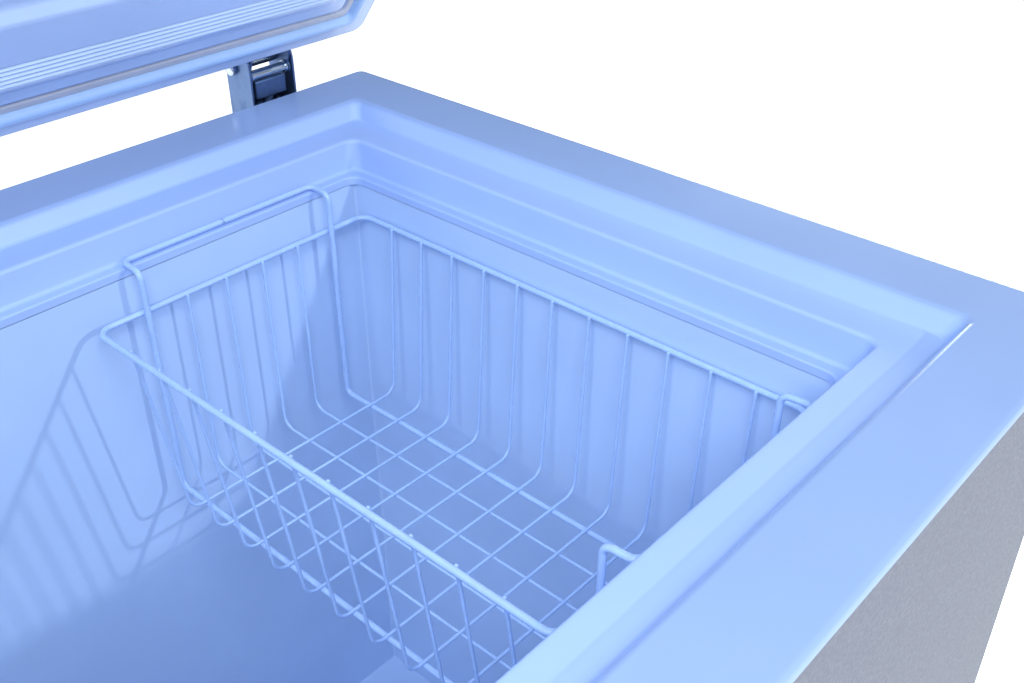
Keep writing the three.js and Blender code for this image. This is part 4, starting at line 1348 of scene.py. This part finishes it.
# ---------- hinges ----------
@dataclass
class Hinge:
    """One sprung hinge: a channel on the cabinet, an arm on the lid, a follower and a spring."""

    side: Side
    width: float = 38
    sheet: float = 1.5
    pin: float = 3.4
    follower: float = 3.5
    cheek: float = 19.15
    cheek_rear: float = 8.1
    web_behind: float = 8.1
    arm_gap: float = 0.5

    def build(self) -> None:
        """Makes every piece of the hinge."""
        name = self.side.name.lower()
        low, high = PLACE.box(f"hinge_base_{name}")
        self.low = low
        self.x = (low.x + high.x) / 2
        self.pivot = PLACE.hinge_line()
        self.rear = self.pivot.y + self.web_behind
        self._channel(name)
        self._pins(name)
        self._spring(name)
        self._arm(name)

    def _channel(self, name: str) -> None:
        """Makes the pressed channel with its round cheeks and screwed ears.

        Args:
            name: left or right.
        """
        front, low, rear = self.low.y, self.low.z, self.rear
        y, z, half = self.pivot.y, self.pivot.z, self.width / 2
        arc = [math.pi * step / 22 for step in range(23)]
        outline = [(front, low), (rear, low), (rear, z - 12)]
        for angle in arc:
            reach = self.cheek_rear if math.cos(angle) > 0 else self.cheek
            outline.append((y + reach * math.cos(angle), z + self.cheek * math.sin(angle)))
        outline += [(y - self.cheek, PLACE.rim - 8), (front, PLACE.rim - 8)]
        shape = Shape()
        for x in (self.x - half, self.x + half - self.sheet):
            shape.plate(outline, x, x + self.sheet, Axis.X)
        shape.box((self.x - half + 1, rear - self.sheet, low), (self.x + half - 1, rear, PLACE.rim + 10))
        shape.box((self.x - half + 1, front, low), (self.x + half - 1, rear, low + self.sheet))
        for sign in (-1, 1):
            middle = self.x + sign * (half + 7)
            inner, outer = self.x + sign * (half - 1), self.x + sign * (half + 16)
            ends = sorted((inner, outer))
            ear_z = PLACE.rim - 60
            shape.box((ends[0], front, ear_z - 12), (ends[1], front + self.sheet, ear_z + 12))
            letter = "a" if sign < 0 else "b"
            face = (middle, front + self.sheet + 0.3, ear_z)
            Screw(f"hinge_screw_{name}_{letter}", "cabinet", face, 1).build()
        piece = Piece(f"hinge_channel_{name}", "cabinet", Finishes.ZINC, [f"hinge_base_{name}"], edge=0.3)
        piece.make(shape)

    def _pins(self, name: str) -> None:
        """Makes the pivot pin with its riveted ends, and the follower roller with its washers.

        Args:
            name: left or right.
        """
        half, (y, z) = self.width / 2, (self.pivot.y, self.pivot.z)
        reach = half + 0.3
        profile = [
            (0, -reach - 4.2), (3.4, -reach - 4.0), (5.2, -reach - 2.6), (5.4, -reach), (self.pin, -reach),
        ]
        profile += [(radius, -height) for radius, height in reversed(profile)]
        shape = Shape().turned(profile, (self.x, y, z), Axis.X, 36)
        Piece(f"pivot_pin_{name}", "cabinet", Finishes.PIN, [f"hinge_pin_{name}"]).make(shape)
        swing = PLACE.lid_swing()
        low, high = PLACE.box(f"hinge_follower_{name}")
        middle = swing.inverted() @ ((low + high) / 2)
        inside = half - self.sheet * 2 - self.arm_gap - 0.3
        outer = half - self.sheet - self.arm_gap
        profile = [
            (0, -outer), (2.5, -outer), (2.5, -inside), (4.4, -inside), (4.4, -inside + 1.1),
            (3.5, -inside + 1.1),
        ]
        profile += [(radius, -height) for radius, height in reversed(profile)]
        shape = Shape().turned(profile, middle, Axis.X, 36)
        roller = Piece(f"follower_roller_{name}", "lid", Finishes.PIN, [f"hinge_follower_{name}"])
        roller.make(shape, swing=True)

    def _spring(self, name: str) -> None:
        """Makes the plunger and the coil spring under it.

        Args:
            name: left or right.
        """
        low, high = PLACE.box(f"hinge_plunger_{name}")
        middle = (low + high) / 2
        block = Shape().box((low.x, low.y, high.z - 13), high)
        block.rod((middle.x, middle.y, low.z), (middle.x, middle.y, high.z - 12.5), 4)
        piece = Piece(
            f"plunger_block_{name}", f"plunger_{name}", Finishes.ZINC, [f"hinge_plunger_{name}"], edge=1.0,
        )
        piece.make(block)
        low, high = PLACE.box(f"hinge_spring_{name}")
        radius, wire, turns, per_turn = 7.0, 1.3, 9, 24
        bottom, top = low.z + wire, high.z - wire
        made = Shape()
        circle = Matrix.Translation((radius, 0, bottom)) @ Matrix.Rotation(math.pi / 2, 4, "X")
        disc = bmesh.ops.create_circle(made.bm, cap_ends=True, segments=8, radius=wire, matrix=circle)
        verts = disc["verts"]
        edges = list({edge for vert in verts for edge in vert.link_edges})
        rise = (top - bottom) / (turns * per_turn)
        spun = bmesh.ops.spin(
            made.bm, geom=edges, cent=(0, 0, 0), axis=(0, 0, 1), dvec=(0, 0, rise), angle=2 * math.pi * turns,
            steps=turns * per_turn, use_merge=False, use_normal_flip=False, use_duplicate=False,
        )["geom_last"]
        bmesh.ops.contextual_create(made.bm, geom=[e for e in spun if isinstance(e, bmesh.types.BMEdge)])
        shape = Shape().take(made.outward(), Matrix.Translation((middle.x, middle.y, 0)))
        piece = Piece(f"coil_spring_{name}", "", Finishes.PIN, [f"hinge_spring_{name}"], crease=70)
        spring = piece.make(shape)
        to_metres = PLACE.to_metres()
        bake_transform(spring)

    def _arm(self, name: str) -> None:
        """Makes the arm that is screwed to the lid's rear face, drawn shut.

        Args:
            name: left or right.
        """
        swing = PLACE.lid_swing()
        low, high = PLACE.box(f"hinge_follower_{name}")
        follower = swing.inverted() @ ((low + high) / 2)
        web, bottom, top = PLACE.depth + 0.3, PLACE.rim + 11, PLACE.rim + 51
        half = self.width / 2 - self.sheet - self.arm_gap
        y, z = self.pivot.y, self.pivot.z

        def arc(cy: float, cz: float, radius: float, start: float, end: float) -> list[Pair]:
            steps = 12
            angles = [start + (end - start) * step / steps for step in range(steps + 1)]
            return [(cy + radius * math.cos(a), cz + radius * math.sin(a)) for a in angles]

        outline = [(web, bottom), (follower.y - 5, follower.z - 1)]
        outline += arc(follower.y, follower.z, 5.2, math.pi + 0.3, 2 * math.pi)
        outline += arc(y, z, 5.9, -0.3, math.pi / 2)
        outline += [(web + 8, top), (web, top)]
        shape = Shape()
        for x in (self.x - half, self.x + half - self.sheet):
            shape.plate(outline, x, x + self.sheet, Axis.X)
        shape.box((self.x - half + 1, web, bottom), (self.x + half - 1, web + self.sheet, top))
        lid_arm = Piece(f"lid_arm_{name}", "lid", Finishes.ZINC, [f"hinge_arm_{name}"], edge=0.3)
        lid_arm.make(shape, swing=True)
        Screw(f"arm_screw_{name}", "lid", (self.x, web + self.sheet + 0.3, top - 8), 1, True).build()


# ---------- pressed and moulded pieces that keep their outline ----------
@dataclass
class Eased:
    """A piece that keeps the outline of its node, with its edges eased as a press or a mould leaves them."""

    node: str
    body: str
    finish: Finishes
    edge: float = 0.5
    steps: int = 2
    crease: float = 32.0
    dissolve: float = 1.0

    def build(self) -> None:
        """Makes the piece."""
        shape = self.copied(self.node)
        flat = math.radians(self.dissolve)
        bmesh.ops.dissolve_limit(shape.bm, angle_limit=flat, verts=shape.bm.verts, edges=shape.bm.edges)
        name = f"{self.node}_eased"
        piece = Piece(name, self.body, self.finish, [self.node], self.edge, self.steps, crease=self.crease)
        piece.make(shape)

    @staticmethod
    def copied(node: str) -> Shape:
        """Copies a CAD node's mesh and merges it.

        Args:
            node: its name.

        Returns:
            The shape, in the cabinet's millimetres.
        """
        shape = Shape()
        source = frame["nodes"][node]
        shape.bm.from_mesh(source.data)
        bmesh.ops.transform(shape.bm, matrix=source.matrix_world, verts=shape.bm.verts)
        bmesh.ops.transform(shape.bm, matrix=PLACE.to_metres().inverted(), verts=shape.bm.verts)
        bmesh.ops.remove_doubles(shape.bm, verts=shape.bm.verts, dist=0.002)
        bmesh.ops.recalc_face_normals(shape.bm, faces=shape.bm.faces)
        return shape


@dataclass
class Casing:
    """Painted wrap, rear panel, base pan, cord gland and feet."""

    def build(self) -> None:
        """Makes the casing's pieces."""
        Eased("cabinet_wrap", "cabinet", Finishes.STEEL, 0.35).build()
        Eased("rear_panel", "cabinet", Finishes.STEEL, 0.3).build()
        Eased("base_pan", "cabinet", Finishes.ZINC, 0.4).build()
        Eased("cord_gland", "cabinet", Finishes.DARK, 0.5).build()
        for row in ("front", "rear"):
            for side in ("left", "right"):
                self._foot(f"foot_{row}_{side}")

    @staticmethod
    def _foot(node: str) -> None:
        """Makes a levelling foot: a threaded stud in a moulded glide.

        Args:
            node: the foot's node, which is also its body.
        """
        low, high = PLACE.box(node)
        middle = (low + high) / 2
        radius = (high.x - low.x) / 2
        shape = Shape().turned(
            [(0, 0), (radius - 2.5, 0), (radius - 0.6, 1.2), (radius, 3.2),
             (radius - 0.4, 6), (radius - 3, 9),
             (10, 13), (7.6, 14.5), (0, 14.5)], (middle.x, middle.y, low.z), Axis.Z, 48,
        )
        Piece(f"{node}_glide", node, Finishes.RUBBER, [node]).make(shape)
        pitch, stud = 1.6, 3.9
        base, top = low.z + 14, high.z
        thread = [(0, 0)]
        rows = int((top - base) / pitch)
        for row in range(rows):
            start = row * pitch
            thread += [
                (stud - 0.7, start + 0.1), (stud, start + pitch / 2), (stud - 0.7, start + pitch - 0.1),
            ]
        thread.append((0, top - base))
        stud_shape = Shape().turned(thread, (middle.x, middle.y, base), Axis.Z, 28)
        Piece(f"{node}_stud", node, Finishes.ZINC, [], crease=70).make(stud_shape)


@dataclass
class Controls:
    """Control plate with its dial, knob and three lamps, the grille and the drain."""

    flutes: int = 24
    marks: int = 8

    def build(self) -> None:
        """Makes the controls."""
        Eased("control_plate", "cabinet", Finishes.TRIM, 0.8, 3).build()
        Eased("thermostat_body", "cabinet", Finishes.DARK, 0.7).build()
        self._knob()
        self._dial()
        lamps = {"lamp_power": Finishes.GREEN, "lamp_running": Finishes.AMBER, "lamp_alarm": Finishes.RED}
        for node, finish in lamps.items():
            self._lamp(node, finish)
        Eased("compressor_grille", "cabinet", Finishes.TRIM, 0.6, 2).build()
        Eased("drain_pipe", "cabinet", Finishes.TRIM, 0.5).build()
        Eased("drain_cap", "outlet_cap", Finishes.TRIM, 0.9, 3).build()
        Eased("drain_plug", "floor_plug", Finishes.DARK, 0.5).build()

    def _knob(self) -> None:
        """Makes the fluted knob with its pointer rib."""
        low, high = PLACE.box("thermostat_knob")
        middle = (low + high) / 2
        radius, depth = (high.z - low.z) / 2, high.y - low.y
        outline = []
        for step in range(self.flutes * 6):
            angle = 2 * math.pi * step / (self.flutes * 6)
            reach = radius - 0.55 * (0.5 - 0.5 * math.cos(angle * self.flutes))
            outline.append((middle.x + reach * math.cos(angle), middle.z + reach * math.sin(angle)))
        shape = Shape().plate(outline, low.y + depth * 0.25, high.y, Axis.Y)
        rib = rounded([
            (middle.x - 2.2, middle.z - radius * 0.82, 1.4), (middle.x + 2.2, middle.z - radius * 0.82, 1.4),
            (middle.x + 2.2, middle.z + radius * 0.9, 1.4), (middle.x - 2.2, middle.z + radius * 0.9, 1.4),
        ], 3)
        shape.plate(rib, low.y, low.y + depth * 0.3, Axis.Y)
        piece = Piece(
            "knob_fluted", "knob", Finishes.TRIM, ["thermostat_knob"], edge=0.8, edge_steps=3, crease=45,
        )
        piece.make(shape)

    def _dial(self) -> None:
        """Makes the raised marks round the knob."""
        plate_low, _ = PLACE.box("control_plate")
        low, high = PLACE.box("thermostat_knob")
        middle, radius = (low + high) / 2, (high.z - low.z) / 2
        shape = Shape()
        for mark in range(self.marks):
            angle = math.radians(240 - 300 * mark / (self.marks - 1))
            turn = Matrix.Rotation(-angle, 4, "Y")
            bar = Shape().box((radius + 2.0, 0, -0.45), (radius + 4.2 + 0.25 * mark, 0.5, 0.45))
            shape.take(bar, Matrix.Translation((middle.x, plate_low.y - 0.02, middle.z)) @ turn)
        Piece("dial_marks", "cabinet", Finishes.DARK, [], edge=0.12, edge_steps=1).make(shape)

    @staticmethod
    def _lamp(node: str, finish: Finishes) -> None:
        """Makes a domed lamp lens.

        Args:
            node: the lamp's node.
            finish: its finish.
        """
        low, high = PLACE.box(node)
        middle, radius = (low + high) / 2, (high.z - low.z) / 2
        depth = high.y - low.y
        profile = [
            (0, 0), (radius, 0), (radius, depth * 0.55), (radius * 0.93, depth * 0.78),
            (radius * 0.6, depth * 0.95), (0, depth),
        ]
        turned = Shape().turned(profile, (0, 0, 0), Axis.Z, 32)
        turn = Matrix.Rotation(math.pi / 2, 4, "X")
        shape = Shape().take(turned, Matrix.Translation((middle.x, high.y, middle.z)) @ turn)
        Piece(f"{node}_lens", "cabinet", finish, [node]).make(shape)


@dataclass
class CoolingBay:
    """Compressor, its mounting, the relay and the pipes."""

    def build(self) -> None:
        """Makes what shows of the bay."""
        self._pot()
        Eased("compressor_rail", "cabinet", Finishes.ZINC, 0.4).build()
        Eased("relay_box", "cabinet", Finishes.DARK, 1.2, 3).build()
        Eased("filter_drier", "cabinet", Finishes.COPPER, 0.3).build()
        for row in ("front", "rear"):
            for side in ("left", "right"):
                Eased(f"compressor_mount_{row}_{side}", "cabinet", Finishes.RUBBER, 0.5).build()

    @staticmethod
    def _pot() -> None:
        """Makes the welded pot with its seam."""
        shape = Eased.copied("compressor")
        bmesh.ops.dissolve_limit(
            shape.bm, angle_limit=math.radians(1), verts=shape.bm.verts, edges=shape.bm.edges,
        )
        Piece("compressor_pot", "cabinet", Finishes.ENAMEL, ["compressor"], edge=0.8, crease=40).make(shape)


# ---------- studio ----------
@dataclass
class Studio:
    """Floor, soft lights and camera."""

    tint: Colour = (0.8, 0.9, 1.0)
    surroundings: float = 0.25
    soft_distance: float = 2.6    # metres from the rim to the key and to the side light
    low_distance: float = 3.0     # metres from the rim to the two low soft boxes
    low_size: float = 1.2
    low_power: float = 34

    def build(self) -> None:
        """Makes the floor, the lights and the camera."""
        self._floor()
        self._lights()
        self._camera()

    @staticmethod
    def _floor() -> None:
        """Makes a plain pale floor."""
        mesh = bpy.data.meshes.new("floor")
        bm = bmesh.new()
        bmesh.ops.create_grid(bm, x_segments=1, y_segments=1, size=30)
        bm.to_mesh(mesh)
        bm.free()
        floor = bpy.data.objects.new("floor", mesh)
        bpy.context.scene.collection.objects.link(floor)
        graph = Graph("pale_floor")
        graph.shader.inputs["Base Color"].default_value = (0.93, 0.93, 0.94, 1)
        graph.shader.inputs["Roughness"].default_value = 0.9
        graph.shader.inputs["Emission Color"].default_value = (1, 1, 1, 1)
        graph.shader.inputs["Emission Strength"].default_value = 0.78
        mesh.materials.append(graph.material)

    @staticmethod
    def _area(name: str, place: Vector, target: Vector, size: float, power: float, colour: Colour) -> None:
        """Adds a soft box.

        Args:
            name: its name.
            place: where it stands.
            target: what it is aimed at.
            size: its edge.
            power: its watts.
            colour: its colour.
        """
        light = bpy.data.lights.new(name, "AREA")
        light.shape = "SQUARE"
        light.size = size
        light.energy = power
        light.color = colour
        lamp = bpy.data.objects.new(name, light)
        lamp.location = place
        lamp.rotation_euler = (target - place).to_track_quat("-Z", "Y").to_euler()
        bpy.context.scene.collection.objects.link(lamp)

    def _lights(self) -> None:
        """Adds the key, a near fill, a soft light from the left, two low ones and the surroundings."""
        target = Vector((0.15, 0, PLACE.rim * MM))
        key = Vector((0.42, -1.0, 0.56)).normalized()
        self._area("key", target + key * self.soft_distance, target, 0.09, 18.5, self.tint)
        near = PLACE.to_metres() @ Vector((-PLACE.width * 0.29, -PLACE.depth * 0.64, PLACE.rim * 1.9))
        self._area("fill", near, target, 0.5, 8, self.tint)
        side = Vector((-1.0, -0.25, 0.62)).normalized()
        self._area("side", target + side * self.soft_distance, target, 1.0, 24, self.tint)
        for name, toward in (("back", (-0.6, 1.0, 0.1)), ("right", (1.0, 0.3, 0.1))):
            away = Vector(toward).normalized()
            self._area(
                name, target + away * self.low_distance, target, self.low_size, self.low_power, self.tint,
            )
        world = bpy.data.worlds.new("surroundings")
        world.use_nodes = True
        background = world.node_tree.nodes["Background"]
        background.inputs[0].default_value = (*self.tint, 1)
        background.inputs[1].default_value = self.surroundings
        bpy.context.scene.world = world
        bpy.context.scene.view_settings.view_transform = "Standard"

    @staticmethod
    def _camera() -> None:
        """Sets the camera up in front of the opening, looking down into its far right corner."""
        lens_mm, sensor_mm = 38.98, 36.0
        from_right, ahead, above = 526.5, 91.7, 275.9
        heading, tilt = math.radians(41.8), math.radians(32.7)
        camera = bpy.data.cameras.new("camera")
        camera.lens = lens_mm
        camera.sensor_width = sensor_mm
        camera.clip_start = 0.02
        view = bpy.data.objects.new("camera", camera)
        place = Vector((PLACE.width / 2 - from_right, -ahead, PLACE.rim + above))
        view.location = PLACE.to_metres() @ place
        toward = Vector((
            math.cos(heading) * math.cos(tilt), math.sin(heading) * math.cos(tilt), -math.sin(tilt),
        ))
        view.rotation_euler = toward.to_track_quat("-Z", "Y").to_euler()
        bpy.context.scene.collection.objects.link(view)
        bpy.context.scene.camera = view


def dress_plain_nodes() -> None:
    """Gives the CAD nodes that stay their finishes."""
    dress(Finishes.FOAM, "foam_fill", "lid_foam")
    dress(Finishes.COPPER, "evaporator_coil", "condenser_coil", "discharge_pipe", "suction_pipe")


def main() -> None:
    """Builds the freezer and its studio."""
    logging.basicConfig(level=logging.INFO)
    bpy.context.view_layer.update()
    Studio().build()
    dress_plain_nodes()
    TopFrame().build()
    Tub().build()
    Basket().build()
    Lid().build()
    for side in Side:
        Hinge(side).build()
    Casing().build()
    Controls().build()
    CoolingBay().build()


if __name__ == "__main__":
    main()
